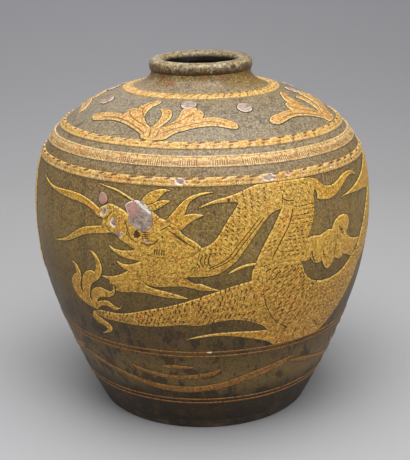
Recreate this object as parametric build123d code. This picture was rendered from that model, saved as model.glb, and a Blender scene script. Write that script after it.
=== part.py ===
from build123d import *
import os
from math import cos, radians, sin

# A large stoneware storage jar: a wall built in luted sections, a rolled rim,
# and the slip ornament laid on it, with a dragon on each side.
# Millimetres, +Z up, origin at the centre of the foot, and -Y is the front.

os.makedirs("parts", exist_ok=True)

# The jar's own sizes.
FOOT_RADIUS = 128.4
FOOT_CHAMFER = 1.5
BASE_THICKNESS = 12.0
BELLY_RADIUS = 200.0
BELLY_HEIGHT = 244.4
SHOULDER_TOP_RADIUS = 87.5
SHOULDER_TOP_HEIGHT = 381.5
NECK_RADIUS = 58.9
NECK_HEIGHT = 401.7
WALL = 9.0

# The mouth: a straight bore under a rolled rim.
MOUTH_RADIUS = 43.0
BORE_FOOT_DEPTH = 11.0
ROLL_RADIUS = 9.7
ROLL_OVERHANG = 2.5

# The slip ornament. It is luted on, with a thin layer of slip under it.
LUTE = 0.15
RELIEF = 1.4
CORD_RISE = 2.2
CORD_WIDTH = 9.5
NECK_CORD_WIDTH = 13.0
FRET_WIDTH = 13.0
FRET_RISE = 1.1
FRET_BORDER_WIDTH = 2.4
FRET_BORDER_RISE = 0.7
LINE_WIDTH = 2.2
LINE_PITCH = 6.0
LINE_RISE = 0.9
WAVE_RISE = 1.1
STUB_RISE = 1.9
STUB_RADIUS = 9.0
STUB_EDGE = 0.7
STUB_SPACING = 31.0
OVERRUN = 2.0

# A full turn, the turn from +X to the front, and the per cents in a whole.
FULL_TURN = 360.0
FRONT_TURN = FULL_TURN / 4
PERCENT = 100.0

# Where the bands lie along the wall, as shares of its length from the foot to
# the neck's waist. Each is the middle of its band.
FOOT_LINE_SHARE = 0.1020
FIELD_LINE_SHARE = 0.2555
BELLY_CORD_SHARE = 0.6655
FRET_SHARE = 0.7105
SHOULDER_CORD_SHARE = 0.7492
NECK_CORD_SHARE = 0.9258

# Where one section of the wall is luted to the next, and how far each scarf
# drops towards the inside. Shares of the same length.
BELLY_SEAM_SHARE = FIELD_LINE_SHARE
SHOULDER_SEAM_SHARE = BELLY_CORD_SHARE
COLLAR_SEAM_SHARE = NECK_CORD_SHARE
SCARF_SHARE = 0.012

# The wall's outline in three stretches. Each point is a share of that
# stretch's reach outwards or inwards, then a share of its rise.
LOWER_SHARES = [(0, 0), (0.277, 0.167), (0.517, 0.333), (0.725, 0.5), (0.891, 0.667), (0.98, 0.833)]
SHOULDER_SHARES = [
    (0, 0), (0.033, 0.297), (0.092, 0.468), (0.177, 0.594), (0.308, 0.716),
    (0.444, 0.802), (0.595, 0.880), (0.729, 0.933), (0.872, 0.977),
]
COLLAR_SHARES = [(0, 0), (0.332, 0.109), (0.528, 0.223), (0.794, 0.465), (0.937, 0.663), (0.996, 0.86), (1, 1)]


def stretch(shares, radii, heights):
    """The points of one stretch of the outline, from shares of its two ends."""
    return [
        (radii[0] + out * (radii[1] - radii[0]), 0, heights[0] + up * (heights[1] - heights[0]))
        for out, up in shares
    ]


WALL_POINTS = (
    stretch(LOWER_SHARES, (FOOT_RADIUS, BELLY_RADIUS), (0, BELLY_HEIGHT))
    + stretch(SHOULDER_SHARES, (BELLY_RADIUS, SHOULDER_TOP_RADIUS), (BELLY_HEIGHT, SHOULDER_TOP_HEIGHT))
    + stretch(COLLAR_SHARES, (SHOULDER_TOP_RADIUS, NECK_RADIUS), (SHOULDER_TOP_HEIGHT, NECK_HEIGHT))
)
WALL_LINE = Edge.make_spline([Vector(*point) for point in WALL_POINTS])
WALL_LENGTH = WALL_LINE.length
# A line lifted off the wall is drawn through this many even steps.
LIFTED_STEPS = 48


def outward(share):
    """The wall's normal at a share of its length, on the section through +X."""
    along = WALL_LINE.tangent_at(share)
    return Vector(along.Z, 0, -along.X)


def lifted_line(lift):
    """The wall's outline moved off along its normal; a negative lift goes inside."""
    points = []
    for step in range(LIFTED_STEPS + 1):
        share = step / LIFTED_STEPS
        points.append(WALL_LINE.position_at(share) + outward(share) * lift)
    return Edge.make_spline(points)


INNER_LINE = lifted_line(-WALL)
LUTE_LINE = lifted_line(LUTE)


def band_section(inner, outer, start, end):
    """A strip of the wall's section between two lines, over a range of shares."""
    low, high = inner.trim(start, end), outer.trim(start, end)
    ends = [Edge.make_line(low @ 0, high @ 0), Edge.make_line(low @ 1, high @ 1)]
    return make_face([low, high] + ends)


def turned(section, degrees=FULL_TURN):
    """A section turned round the jar's axis."""
    return revolve(section, Axis.Z, degrees)


def save(name, solids):
    """Writes the solids of one sub-part as one file."""
    solids = list(solids)
    shape = solids[0] if len(solids) == 1 else Compound(children=solids)
    export_step(shape, f"parts/{name}.step")


# The wall sections.


def wall_section(start, end):
    """One section of the wall, with scarfed ends that drop towards the inside."""
    outer = WALL_LINE.trim(start, end)
    inner = INNER_LINE.trim(max(start - SCARF_SHARE, 0), end - SCARF_SHARE)
    ends = [Edge.make_line(inner @ 0, outer @ 0), Edge.make_line(inner @ 1, outer @ 1)]
    return make_face([outer, inner] + ends)


def base_disc():
    """The slab that the wall stands on, cut to the wall's outline."""
    axis_top = Vector(0, 0, NECK_HEIGHT)
    edges = [
        WALL_LINE,
        Edge.make_line(WALL_LINE @ 1, axis_top),
        Edge.make_line(axis_top, Vector(0, 0, 0)),
        Edge.make_line(Vector(0, 0, 0), WALL_LINE @ 0),
    ]
    core = turned(make_face(edges))
    slab = core & Cylinder(BELLY_RADIUS, BASE_THICKNESS, align=(Align.CENTER, Align.CENTER, Align.MIN))
    foot_edge = slab.edges().sort_by(Axis.Z)[0]
    return chamfer(foot_edge, FOOT_CHAMFER)


def lower_wall():
    """The flaring wall from the slab to the lower double line."""
    ring = turned(wall_section(0, BELLY_SEAM_SHARE))
    below = Cylinder(BELLY_RADIUS, BASE_THICKNESS, align=(Align.CENTER, Align.CENTER, Align.MIN))
    below = below + Pos(0, 0, -OVERRUN) * Cylinder(
        BELLY_RADIUS, OVERRUN, align=(Align.CENTER, Align.CENTER, Align.MIN)
    )
    return ring - below


# The rim's roll seats in the neck, so its centre is worked out from both.
ROLL_CENTRE_RADIUS = NECK_RADIUS + ROLL_OVERHANG - ROLL_RADIUS
ROLL_NECK_REACH = NECK_RADIUS - ROLL_CENTRE_RADIUS
ROLL_SEAT_RISE = (ROLL_RADIUS**2 - ROLL_NECK_REACH**2) ** 0.5
ROLL_CENTRE_HEIGHT = NECK_HEIGHT + ROLL_SEAT_RISE
ROLL_BORE_REACH = ROLL_CENTRE_RADIUS - MOUTH_RADIUS
ROLL_BORE_RISE = (ROLL_RADIUS**2 - ROLL_BORE_REACH**2) ** 0.5


def neck_collar():
    """The short neck, with the straight mouth bore and the seat for the rim."""
    outer = WALL_LINE.trim(COLLAR_SEAM_SHARE, 1)
    seat_end = Vector(MOUTH_RADIUS, 0, ROLL_CENTRE_HEIGHT - ROLL_BORE_RISE)
    seat_low = Vector(ROLL_CENTRE_RADIUS, 0, ROLL_CENTRE_HEIGHT - ROLL_RADIUS)
    seat = Edge.make_three_point_arc(outer @ 1, seat_low, seat_end)
    inner_start = INNER_LINE.position_at(COLLAR_SEAM_SHARE - SCARF_SHARE)
    inner_way = INNER_LINE.tangent_at(COLLAR_SEAM_SHARE - SCARF_SHARE)
    bore_foot = Vector(MOUTH_RADIUS, 0, NECK_HEIGHT - BORE_FOOT_DEPTH)
    under = Edge.make_spline([inner_start, bore_foot], tangents=[inner_way, Vector(0, 0, 1)])
    bore = Edge.make_line(bore_foot, seat_end)
    scarf = Edge.make_line(inner_start, outer @ 0)
    return turned(make_face([outer, seat, bore, under, scarf]))


def rolled_rim():
    """The rim: a roll of clay, flattened where it lines the mouth."""
    low = Vector(MOUTH_RADIUS, 0, ROLL_CENTRE_HEIGHT - ROLL_BORE_RISE)
    high = Vector(MOUTH_RADIUS, 0, ROLL_CENTRE_HEIGHT + ROLL_BORE_RISE)
    crest = Vector(ROLL_CENTRE_RADIUS + ROLL_RADIUS, 0, ROLL_CENTRE_HEIGHT)
    return turned(make_face([Edge.make_line(low, high), Edge.make_three_point_arc(low, crest, high)]))


# The bands that run right round the jar.


def band_range(middle, width):
    """The shares of the wall where a band of this width starts and ends."""
    half = width / WALL_LENGTH / 2
    return middle - half, middle + half


def cord(middle, width):
    """A cord of slip with a rounded back."""
    start, end = band_range(middle, width)
    seat = LUTE_LINE.trim(start, end)
    crown = LUTE_LINE.position_at(middle) + outward(middle) * CORD_RISE
    return turned(make_face([seat, Edge.make_three_point_arc(seat @ 0, crown, seat @ 1)]))


def line_pair(middle):
    """Two thin trailed lines, one above the other."""
    step = LINE_PITCH / WALL_LENGTH / 2
    outer = lifted_line(LUTE + LINE_RISE)
    return [
        turned(band_section(LUTE_LINE, outer, *band_range(middle + side * step, LINE_WIDTH)))
        for side in (-1, 1)
    ]


def fret_band():
    """The key-fret ribbon, with a raised border along each edge."""
    flat = lifted_line(LUTE + FRET_RISE)
    proud = lifted_line(LUTE + FRET_RISE + FRET_BORDER_RISE)
    section = band_section(LUTE_LINE, flat, *band_range(FRET_SHARE, FRET_WIDTH))
    step = (FRET_WIDTH - FRET_BORDER_WIDTH) / WALL_LENGTH / 2
    for side in (-1, 1):
        border = band_range(FRET_SHARE + side * step, FRET_BORDER_WIDTH)
        section = section + band_section(LUTE_LINE, proud, *border)
    return turned(section)


# The figures. Their outlines are drawn as strokes that meet at corners. Each
# point is degrees round from the front, then per cent of its field's height
# along the wall; a stroke ends where the next one starts.

FIELD = (band_range(FIELD_LINE_SHARE, LINE_PITCH + LINE_WIDTH)[1], band_range(BELLY_CORD_SHARE, CORD_WIDTH)[0])
SHOULDER_FIELD = (
    band_range(SHOULDER_CORD_SHARE, CORD_WIDTH)[1],
    band_range(NECK_CORD_SHARE, NECK_CORD_WIDTH)[0],
)
WAVE_FIELD = (
    band_range(FOOT_LINE_SHARE, LINE_PITCH + LINE_WIDTH)[1],
    band_range(FIELD_LINE_SHARE, LINE_PITCH + LINE_WIDTH)[0],
)

# What is broken off the head: the brow, and the knob on the nose.
BROW_STUB_SHARES = [
    [(-24.0, 88.6), (-22.2, 90.7), (-19.9, 91.5), (-17.8, 90.4), (-16.6, 88.2), (-15.3, 86.4)],
    [(-15.3, 86.4), (-14.9, 82.0), (-15.3, 78.0), (-16.8, 75.2), (-19.0, 75.2), (-20.9, 77.0),
     (-22.5, 79.8), (-22.7, 82.8), (-23.4, 85.4)],
]
NOSE_STUB_SHARES = [
    [(-33.4, 88.2), (-33.8, 91.0), (-32.9, 93.8)],
    [(-32.9, 93.8), (-31.3, 92.6), (-30.5, 90.2), (-31.4, 87.7)],
    [(-31.4, 87.7), (-32.4, 87.0)],
]
HEAD_SHARES = [
    [(-32.6, 75.0), (-32.0, 77.2), (-31.9, 79.6)],
    [(-31.9, 79.6), (-33.3, 81.9), (-33.1, 84.8), (-31.5, 86.7), (-30.0, 87.9), (-27.2, 87.2),
     (-24.8, 85.6), (-22.9, 83.3)],
    [(-22.9, 83.3), (-19.0, 86.0)],
    [(-19.0, 86.0), (-15.3, 86.4)],
    [(-15.3, 86.4), (-13.8, 84.3), (-12.4, 82.7), (-10.8, 81.8)],
    [(-10.8, 81.8), (-7.0, 78.2)],
    [(-7.0, 78.2), (-6.6, 76.2), (-3.7, 71.8), (-0.3, 66.7)],
    [(-0.3, 66.7), (-3.0, 62.6), (-9.0, 60.4), (-15.5, 61.4), (-20.3, 64.6)],
    [(-20.3, 64.6), (-22.2, 65.7), (-23.8, 67.3), (-25.5, 68.6)],
    [(-25.5, 68.6), (-26.7, 70.8), (-28.4, 72.4)],
]
MANE_SHARES = [
    [(-29.8, 65.1), (-28.4, 63.6), (-25.5, 62.8), (-22.6, 63.3), (-20.3, 64.6)],
    [(-20.3, 64.6), (-10.0, 70.0)],
    [(-10.0, 70.0), (-0.3, 66.7)],
    [(-0.3, 66.7), (-1.4, 60.0), (-2.2, 54.5), (-4.8, 50.0)],
    [(-4.8, 50.0), (-3.4, 47.5), (-0.9, 46.2), (1.6, 44.2), (5.4, 41.8)],
    [(5.4, 41.8), (2.0, 41.8), (-1.6, 42.6), (-4.4, 44.0), (-7.6, 44.5), (-11.0, 44.0), (-14.6, 43.4),
     (-16.8, 44.1), (-18.5, 46.0)],
    [(-18.5, 46.0), (-17.6, 43.9), (-15.1, 42.1), (-11.5, 40.8), (-8.0, 39.2), (-4.6, 36.9)],
    [(-4.6, 36.9), (-9.0, 37.1), (-14.0, 38.0), (-19.4, 39.1), (-22.6, 38.6), (-25.4, 37.9), (-28.6, 38.4)],
    [(-28.6, 38.4), (-28.0, 39.6), (-28.5, 41.2)],
    [(-28.5, 41.2), (-30.4, 41.9)],
    [(-30.4, 41.9), (-30.3, 43.2), (-30.7, 44.3)],
    [(-30.7, 44.3), (-33.4, 45.6)],
    [(-33.4, 45.6), (-30.4, 46.1), (-27.6, 47.3), (-25.2, 49.4), (-23.3, 51.8)],
    [(-23.3, 51.8), (-24.8, 52.4), (-26.1, 54.0), (-27.2, 56.6)],
    [(-27.2, 56.6), (-25.0, 55.0), (-22.4, 55.3), (-19.9, 57.1), (-17.7, 58.4)],
    [(-17.7, 58.4), (-21.5, 58.3), (-25.4, 59.6), (-28.2, 61.9)],
]
DRAGON_NECK_SHARES = [
    [(-4.8, 50.0), (0.4, 50.3), (5.0, 52.1), (8.0, 55.6), (10.5, 59.6), (12.3, 64.2), (14.4, 69.2),
     (16.5, 74.2), (18.7, 79.2), (21.2, 83.2), (24.8, 85.3)],
    [(24.8, 85.3), (25.3, 92.0), (24.4, 100.0)],
    [(24.4, 100.0), (18.6, 100.0)],
    [(18.6, 100.0), (15.7, 99.1), (13.2, 97.4), (10.4, 95.6), (7.6, 94.2), (4.2, 92.8), (1.2, 90.9),
     (-1.4, 88.4)],
    [(-1.4, 88.4), (2.0, 90.4), (5.2, 91.3), (8.2, 91.5), (11.1, 90.8)],
    [(11.1, 90.8), (9.4, 86.0), (7.6, 81.6), (6.0, 76.8), (4.2, 71.9), (2.2, 68.5), (-0.3, 66.7)],
    [(-0.3, 66.7), (-4.5, 60.0), (-4.8, 50.0)],
]
HORN_SHARES = [
    [(-10.8, 81.8), (-9.2, 85.0), (-7.0, 89.7), (-5.1, 93.0), (-2.8, 95.3), (-0.2, 96.6), (3.6, 97.0)],
    [(3.6, 97.0), (0.4, 95.9), (-2.3, 93.9), (-4.1, 91.0), (-4.9, 87.8), (-5.4, 84.5)],
    [(-5.4, 84.5), (-3.8, 85.2), (-1.8, 85.4), (0.4, 84.6)],
    [(0.4, 84.6), (-1.8, 82.9), (-3.6, 80.9), (-5.2, 78.5)],
    [(-5.2, 78.5), (-9.0, 75.0)],
]
EAR_SHARES = [
    [(-18.7, 91.0), (-17.4, 94.5), (-15.5, 96.8), (-13.0, 98.2), (-9.5, 97.5)],
    [(-9.5, 97.5), (-11.7, 96.3), (-13.2, 93.4), (-15.3, 90.2)],
]
SMALL_EAR_SHARES = [
    [(-15.3, 90.2), (-13.4, 91.7), (-11.6, 92.4), (-9.7, 92.2)],
    [(-9.7, 92.2), (-11.2, 90.3), (-12.6, 88.6), (-15.2, 86.5)],
    [(-15.2, 86.5), (-17.5, 88.2)],
]
FEELER_SHARES = [
    [(-34.0, 98.2), (-30.8, 97.3), (-28.0, 96.5), (-25.0, 94.7), (-22.4, 92.5), (-20.4, 91.2)],
    [(-20.4, 91.2), (-21.6, 90.7)],
    [(-21.6, 90.7), (-23.2, 92.3), (-25.6, 94.1), (-28.2, 95.7), (-30.8, 96.6)],
]
UPPER_WHISKER_SHARES = [
    [(-66.0, 94.0), (-62.0, 91.8), (-58.0, 90.2), (-52.4, 90.1), (-47.8, 90.5), (-43.3, 90.4),
     (-38.7, 88.9), (-35.2, 86.4), (-33.2, 84.4)],
    [(-33.2, 84.4), (-31.4, 80.4)],
    [(-31.4, 80.4), (-33.4, 80.0), (-35.2, 82.2), (-37.2, 84.2), (-40.6, 85.7), (-45.5, 86.4),
     (-50.1, 87.0), (-54.4, 87.9), (-58.6, 89.3), (-62.4, 91.3)],
]
LOWER_WHISKER_SHARES = [
    [(-55.6, 58.8), (-51.9, 60.4), (-47.8, 63.3), (-44.6, 67.1), (-41.5, 70.5), (-38.4, 72.8),
     (-35.1, 74.1), (-32.6, 75.0)],
    [(-32.6, 75.0), (-30.0, 76.0)],
    [(-30.0, 76.0), (-28.4, 72.4)],
    [(-28.4, 72.4), (-31.5, 71.1), (-36.2, 69.7), (-39.6, 67.9), (-43.2, 64.8), (-46.5, 62.2), (-50.4, 60.2)],
]
TRUNK_SHARES = [
    [(24.8, 85.3), (22.8, 79.0), (20.6, 72.2), (18.9, 67.2), (17.4, 62.0), (16.3, 57.4), (15.5, 53.2)],
    [(15.5, 53.2), (20.0, 54.6), (26.0, 54.8), (31.5, 53.6)],
    [(31.5, 53.6), (32.4, 59.2), (33.5, 64.5), (35.1, 70.3), (36.3, 76.1), (36.9, 82.0), (37.1, 87.0)],
    [(37.1, 87.0), (37.2, 90.8), (37.8, 92.7)],
    [(37.8, 92.7), (37.4, 97.0), (34.6, 100.0)],
    [(34.6, 100.0), (24.4, 100.0)],
    [(24.4, 100.0), (25.3, 92.0), (24.8, 85.3)],
]
SHOULDER_FIN_SHARES = [
    [(34.6, 100.0), (37.4, 98.8), (39.6, 97.0), (41.2, 94.2), (43.3, 92.6), (45.4, 92.2), (48.4, 93.3),
     (51.4, 95.3), (54.9, 96.7), (58.4, 96.4), (61.9, 92.7)],
    [(61.9, 92.7), (59.6, 94.0), (57.0, 94.1), (54.3, 92.9), (51.6, 90.4), (48.9, 87.8), (46.4, 86.0),
     (43.4, 85.3), (40.6, 85.8), (38.4, 87.2)],
    [(38.4, 87.2), (38.6, 90.6), (37.8, 92.7)],
    [(37.8, 92.7), (34.0, 94.0)],
]
HAUNCH_SHARES = [
    [(18.6, 54.2), (18.7, 45.0), (18.9, 36.0), (20.5, 27.0), (23.0, 19.8), (26.4, 14.6), (28.4, 12.2)],
    [(28.4, 12.2), (27.4, 6.0), (25.2, 0.4)],
    [(25.2, 0.4), (35.0, 0.3), (45.0, 0.4)],
    [(45.0, 0.4), (50.0, 5.4), (54.4, 12.6), (58.4, 20.6), (62.0, 29.0), (65.0, 37.4)],
    [(65.0, 37.4), (61.8, 42.6), (57.0, 45.4)],
    [(57.0, 45.4), (53.6, 41.2), (49.2, 38.3), (44.4, 37.4), (39.6, 38.2), (35.8, 41.0), (33.4, 45.6),
     (32.2, 50.2), (31.5, 53.6)],
    [(31.5, 53.6), (26.0, 56.8), (18.6, 54.2)],
]
TAIL_SHARES = [
    [(-39.6, 20.2), (-36.4, 22.2), (-30.0, 22.6), (-24.6, 24.3), (-20.2, 26.8), (-15.2, 29.5),
     (-9.9, 32.1), (-5.2, 35.0), (0.1, 38.4), (5.2, 41.6), (10.0, 44.2), (15.1, 46.3)],
    [(15.1, 46.3), (15.1, 49.8), (15.5, 53.2)],
    [(15.5, 53.2), (18.6, 54.2)],
    [(18.6, 54.2), (22.0, 42.0), (23.5, 28.0), (28.4, 12.2)],
    [(28.4, 12.2), (24.6, 10.8), (21.9, 12.3)],
    [(21.9, 12.3), (20.4, 15.6), (18.2, 18.0), (15.0, 20.4), (11.0, 22.4), (6.2, 22.3), (2.0, 20.7),
     (-2.2, 19.4), (-5.6, 19.9), (-10.9, 18.8), (-15.2, 17.6), (-20.0, 17.0), (-26.0, 16.9),
     (-32.0, 17.2), (-36.4, 17.6)],
]
BELLY_FIN_SHARES = [
    [(-5.9, 9.4), (-0.6, 12.3), (4.8, 13.7), (10.6, 13.8), (16.0, 13.1), (21.9, 12.3)],
    [(21.9, 12.3), (29.4, 13.0)],
    [(29.4, 13.0), (27.0, 2.0), (25.2, 0.4)],
    [(25.2, 0.4), (22.4, 4.2), (19.6, 6.2), (15.4, 8.6), (10.6, 10.8), (5.0, 12.0), (-0.6, 11.2)],
]
HAIR_SHARES = [
    [(7.4, 51.4), (9.6, 54.0), (12.4, 55.9), (16.2, 56.4)],
    [(16.2, 56.4), (16.6, 55.0)],
    [(16.6, 55.0), (12.8, 54.7), (10.0, 53.0)],
]
CLAW_SHARES = [
    [(33.3, 64.2), (34.2, 66.1), (36.2, 66.6), (38.9, 65.9), (41.4, 67.3), (44.6, 67.0)],
    [(44.6, 67.0), (45.6, 70.8), (47.6, 73.2), (50.2, 73.8), (52.9, 72.2), (54.0, 68.6), (53.4, 65.0),
     (52.4, 62.9)],
    [(52.4, 62.9), (53.4, 60.2), (56.0, 57.2), (59.2, 55.5), (62.7, 54.4)],
    [(62.7, 54.4), (60.0, 50.0), (57.0, 45.4)],
    [(57.0, 45.4), (54.4, 47.6), (51.2, 49.6)],
    [(51.2, 49.6), (49.4, 47.7), (47.4, 48.8), (46.4, 50.6)],
    [(46.4, 50.6), (45.4, 47.0), (43.2, 44.4), (41.6, 46.6), (40.5, 50.8)],
    [(40.5, 50.8), (38.6, 49.8), (36.8, 51.0), (35.3, 54.6)],
    [(35.3, 54.6), (33.6, 52.9), (31.5, 53.6)],
    [(31.5, 53.6), (32.0, 59.0), (33.3, 64.2)],
]
REAR_BODY_SHARES = [
    [(57.0, 45.4), (61.0, 49.0), (64.4, 56.4), (66.6, 62.2), (68.8, 67.8), (71.4, 73.4), (74.2, 80.0),
     (76.6, 88.0), (78.4, 95.0), (78.8, 100.0)],
    [(78.8, 100.0), (96.0, 100.0)],
    [(96.0, 100.0), (101.0, 91.0), (103.2, 79.0), (103.0, 66.0), (100.8, 54.0), (98.6, 46.0)],
    [(98.6, 46.0), (91.6, 44.0)],
    [(91.6, 44.0), (92.4, 53.0), (93.0, 62.0), (92.6, 71.0), (90.4, 77.0)],
    [(90.4, 77.0), (85.6, 69.4), (80.4, 60.2), (75.2, 50.8), (70.0, 43.0), (65.0, 37.4)],
    [(65.0, 37.4), (60.0, 38.0), (57.0, 45.4)],
]
BACK_FLAME_SHARES = [
    [(49.8, 83.9), (55.0, 85.3), (60.0, 87.3), (64.4, 89.5), (68.0, 91.6), (72.0, 94.4), (78.0, 98.0)],
    [(78.0, 98.0), (75.0, 79.0)],
    [(75.0, 79.0), (70.6, 81.0), (66.4, 82.4), (62.0, 82.8), (58.0, 83.6), (54.0, 84.0)],
]
REAR_CLAW_SHARES = [
    [(91.6, 44.0), (95.2, 46.0), (98.6, 46.0)],
    [(98.6, 46.0), (101.4, 43.6), (104.0, 39.0), (105.4, 32.6)],
    [(105.4, 32.6), (102.6, 35.6), (100.4, 36.2)],
    [(100.4, 36.2), (100.8, 32.0), (99.4, 27.0), (97.0, 23.4)],
    [(97.0, 23.4), (96.6, 28.6), (95.2, 32.4), (93.6, 34.0)],
    [(93.6, 34.0), (92.0, 29.6), (89.2, 26.2), (85.8, 24.4)],
    [(85.8, 24.4), (87.2, 29.6), (87.8, 34.0), (88.4, 38.0)],
    [(88.4, 38.0), (85.6, 38.2), (82.4, 36.6)],
    [(82.4, 36.6), (84.8, 41.2), (88.0, 43.6), (91.6, 44.0)],
]
# The tail's tuft of flames, in the order in which one laps over the next.
TAIL_FLAME_SHARES = [
    [
        [(-29.2, 41.2), (-28.7, 38.6), (-29.2, 35.6), (-31.0, 33.2), (-34.2, 31.9), (-36.4, 29.8),
         (-37.2, 26.4), (-38.4, 22.4)],
        [(-38.4, 22.4), (-39.6, 22.8)],
        [(-39.6, 22.8), (-39.1, 28.0), (-38.6, 33.4), (-36.8, 36.6), (-34.2, 37.9), (-32.2, 37.1),
         (-30.6, 36.6)],
    ],
    [
        [(-26.4, 30.6), (-27.4, 27.2), (-29.0, 25.3), (-30.8, 25.2), (-31.9, 26.3), (-33.4, 26.6),
         (-35.6, 25.4), (-37.4, 22.4)],
        [(-37.4, 22.4), (-38.4, 22.4)],
        [(-38.4, 22.4), (-37.0, 27.2), (-34.6, 29.2), (-31.9, 29.8), (-30.5, 28.2), (-29.0, 26.8)],
    ],
    [
        [(-37.2, 59.6), (-34.9, 57.6), (-33.4, 53.6), (-33.0, 49.2), (-33.7, 45.4), (-35.4, 42.0),
         (-37.4, 39.8), (-38.6, 37.2), (-39.3, 33.0), (-39.9, 29.4)],
        [(-39.9, 29.4), (-41.0, 26.8)],
        [(-41.0, 26.8), (-42.4, 31.0), (-42.5, 36.8), (-41.6, 42.0), (-39.7, 45.6), (-37.4, 47.2),
         (-35.9, 46.8)],
        [(-35.9, 46.8), (-35.2, 50.4), (-35.2, 54.4)],
    ],
    [
        [(-46.0, 49.9), (-43.9, 48.2), (-42.6, 44.8), (-42.4, 41.4), (-43.3, 37.6), (-43.6, 34.2),
         (-42.6, 30.4), (-41.0, 26.8)],
        [(-41.0, 26.8), (-39.9, 29.4), (-39.2, 25.0), (-38.9, 22.6)],
        [(-38.9, 22.6), (-41.2, 23.6), (-44.2, 25.6), (-46.4, 28.6), (-47.6, 32.6), (-47.6, 37.0),
         (-46.4, 40.4), (-44.9, 42.4)],
        [(-44.9, 42.4), (-44.4, 45.2), (-44.9, 47.8)],
    ],
    [
        [(-38.2, 4.9), (-35.6, 6.6), (-33.6, 8.6), (-32.9, 10.8), (-33.9, 13.8), (-36.2, 16.2),
         (-38.4, 18.2), (-39.6, 20.2)],
        [(-39.6, 20.2), (-40.5, 17.2)],
        [(-40.5, 17.2), (-39.8, 14.6), (-38.0, 12.6), (-36.0, 11.6), (-34.9, 9.8), (-36.0, 7.4)],
    ],
]

# Each figure of the dragon, with the figures that lie over its edges.
DRAGON = {
    "dragon_brow_stubs": (BROW_STUB_SHARES, []),
    "dragon_nose_stubs": (NOSE_STUB_SHARES, []),
    "dragon_heads": (HEAD_SHARES, [BROW_STUB_SHARES]),
    "dragon_manes": (MANE_SHARES, [HEAD_SHARES]),
    "dragon_necks": (DRAGON_NECK_SHARES, [HEAD_SHARES, MANE_SHARES]),
    "dragon_horns": (HORN_SHARES, [HEAD_SHARES]),
    "dragon_upper_whiskers": (UPPER_WHISKER_SHARES, [HEAD_SHARES]),
    "dragon_lower_whiskers": (LOWER_WHISKER_SHARES, [HEAD_SHARES]),
    "dragon_trunks": (TRUNK_SHARES, [DRAGON_NECK_SHARES]),
    "dragon_shoulder_fins": (SHOULDER_FIN_SHARES, [TRUNK_SHARES]),
    "dragon_haunches": (HAUNCH_SHARES, [TRUNK_SHARES]),
    "dragon_tails": (TAIL_SHARES, [HAUNCH_SHARES, TRUNK_SHARES, TAIL_FLAME_SHARES[4]]),
    "dragon_belly_fins": (BELLY_FIN_SHARES, [HAUNCH_SHARES, TAIL_SHARES]),
    "dragon_hairs": (HAIR_SHARES, [TRUNK_SHARES]),
    "dragon_claws": (CLAW_SHARES, [TRUNK_SHARES, HAUNCH_SHARES]),
    "dragon_rear_bodies": (REAR_BODY_SHARES, [HAUNCH_SHARES, CLAW_SHARES]),
    "dragon_back_flames": (BACK_FLAME_SHARES, [REAR_BODY_SHARES]),
    "dragon_rear_claws": (REAR_CLAW_SHARES, [REAR_BODY_SHARES]),
}

# The sprays on the shoulder. Degrees here are counted from each spray's foot.
SPRAY_SHARES = [
    [(-5.2, 11.0), (-9.0, 18.4), (-13.0, 24.6), (-17.4, 29.0), (-22.0, 31.2), (-26.0, 30.6),
     (-30.4, 27.0), (-35.4, 22.0)],
    [(-35.4, 22.0), (-38.8, 31.6), (-37.2, 37.4), (-32.6, 42.4), (-27.4, 45.9), (-23.6, 46.4), (-20.6, 45.0)],
    [(-20.6, 45.0), (-21.0, 52.0), (-20.2, 58.4), (-17.4, 63.2), (-14.9, 61.4)],
    [(-14.9, 61.4), (-15.4, 69.0), (-13.4, 77.4), (-10.2, 85.0), (-6.6, 90.4)],
    [(-6.6, 90.4), (-5.2, 83.6), (-6.4, 77.4), (-8.4, 69.0), (-8.9, 57.4), (-7.9, 44.0), (-5.6, 33.4),
     (-2.4, 24.4)],
    [(-2.4, 24.4), (-0.6, 33.0), (0.2, 42.6), (0.2, 51.6), (-0.6, 59.4), (-2.4, 65.4)],
    [(-2.4, 65.4), (0.9, 68.0), (4.2, 62.0), (5.2, 53.0), (4.8, 43.0), (3.3, 34.0), (1.2, 24.4)],
    [(1.2, 24.4), (4.2, 30.0), (7.2, 39.4), (8.9, 50.6), (9.4, 62.0), (11.4, 72.4), (14.6, 75.0),
     (17.4, 67.4)],
    [(17.4, 67.4), (20.2, 63.0), (20.9, 54.6), (19.9, 47.2)],
    [(19.9, 47.2), (24.0, 48.7), (28.4, 46.6), (32.4, 40.4), (35.4, 31.6), (35.6, 26.0), (33.4, 21.6)],
    [(33.4, 21.6), (30.6, 25.4), (27.2, 28.6), (23.4, 29.9), (19.4, 28.6), (15.4, 25.2), (11.4, 19.8),
     (8.0, 13.6), (6.4, 7.0), (4.4, 2.8)],
    [(4.4, 2.8), (0.0, 1.4), (-4.0, 2.6)],
    [(-4.0, 2.6), (-4.9, 7.0), (-5.2, 11.0)],
]
SPRAY_FRONT_DEGREES = -19.6
LUG_FRONT_DEGREES = 8.3
LUG_FOOT_SHARES = [(-1, 80.0), (1, 67.0)]
WAVE_SHARES = [
    [(-46.0, 66.0), (-36.0, 60.0), (-28.0, 50.0), (-20.0, 41.5), (-12.0, 34.0), (-3.0, 30.5), (7.0, 31.5),
     (17.0, 40.0), (25.0, 52.0), (33.0, 63.0), (40.0, 70.5), (45.6, 77.0)],
    [(45.6, 77.0), (41.0, 59.0), (34.0, 49.0), (26.0, 37.0), (18.0, 27.0), (10.0, 20.0), (1.0, 16.4),
     (-7.0, 19.0), (-15.0, 27.0), (-23.0, 37.0), (-32.0, 47.6), (-40.0, 55.0)],
]
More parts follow.
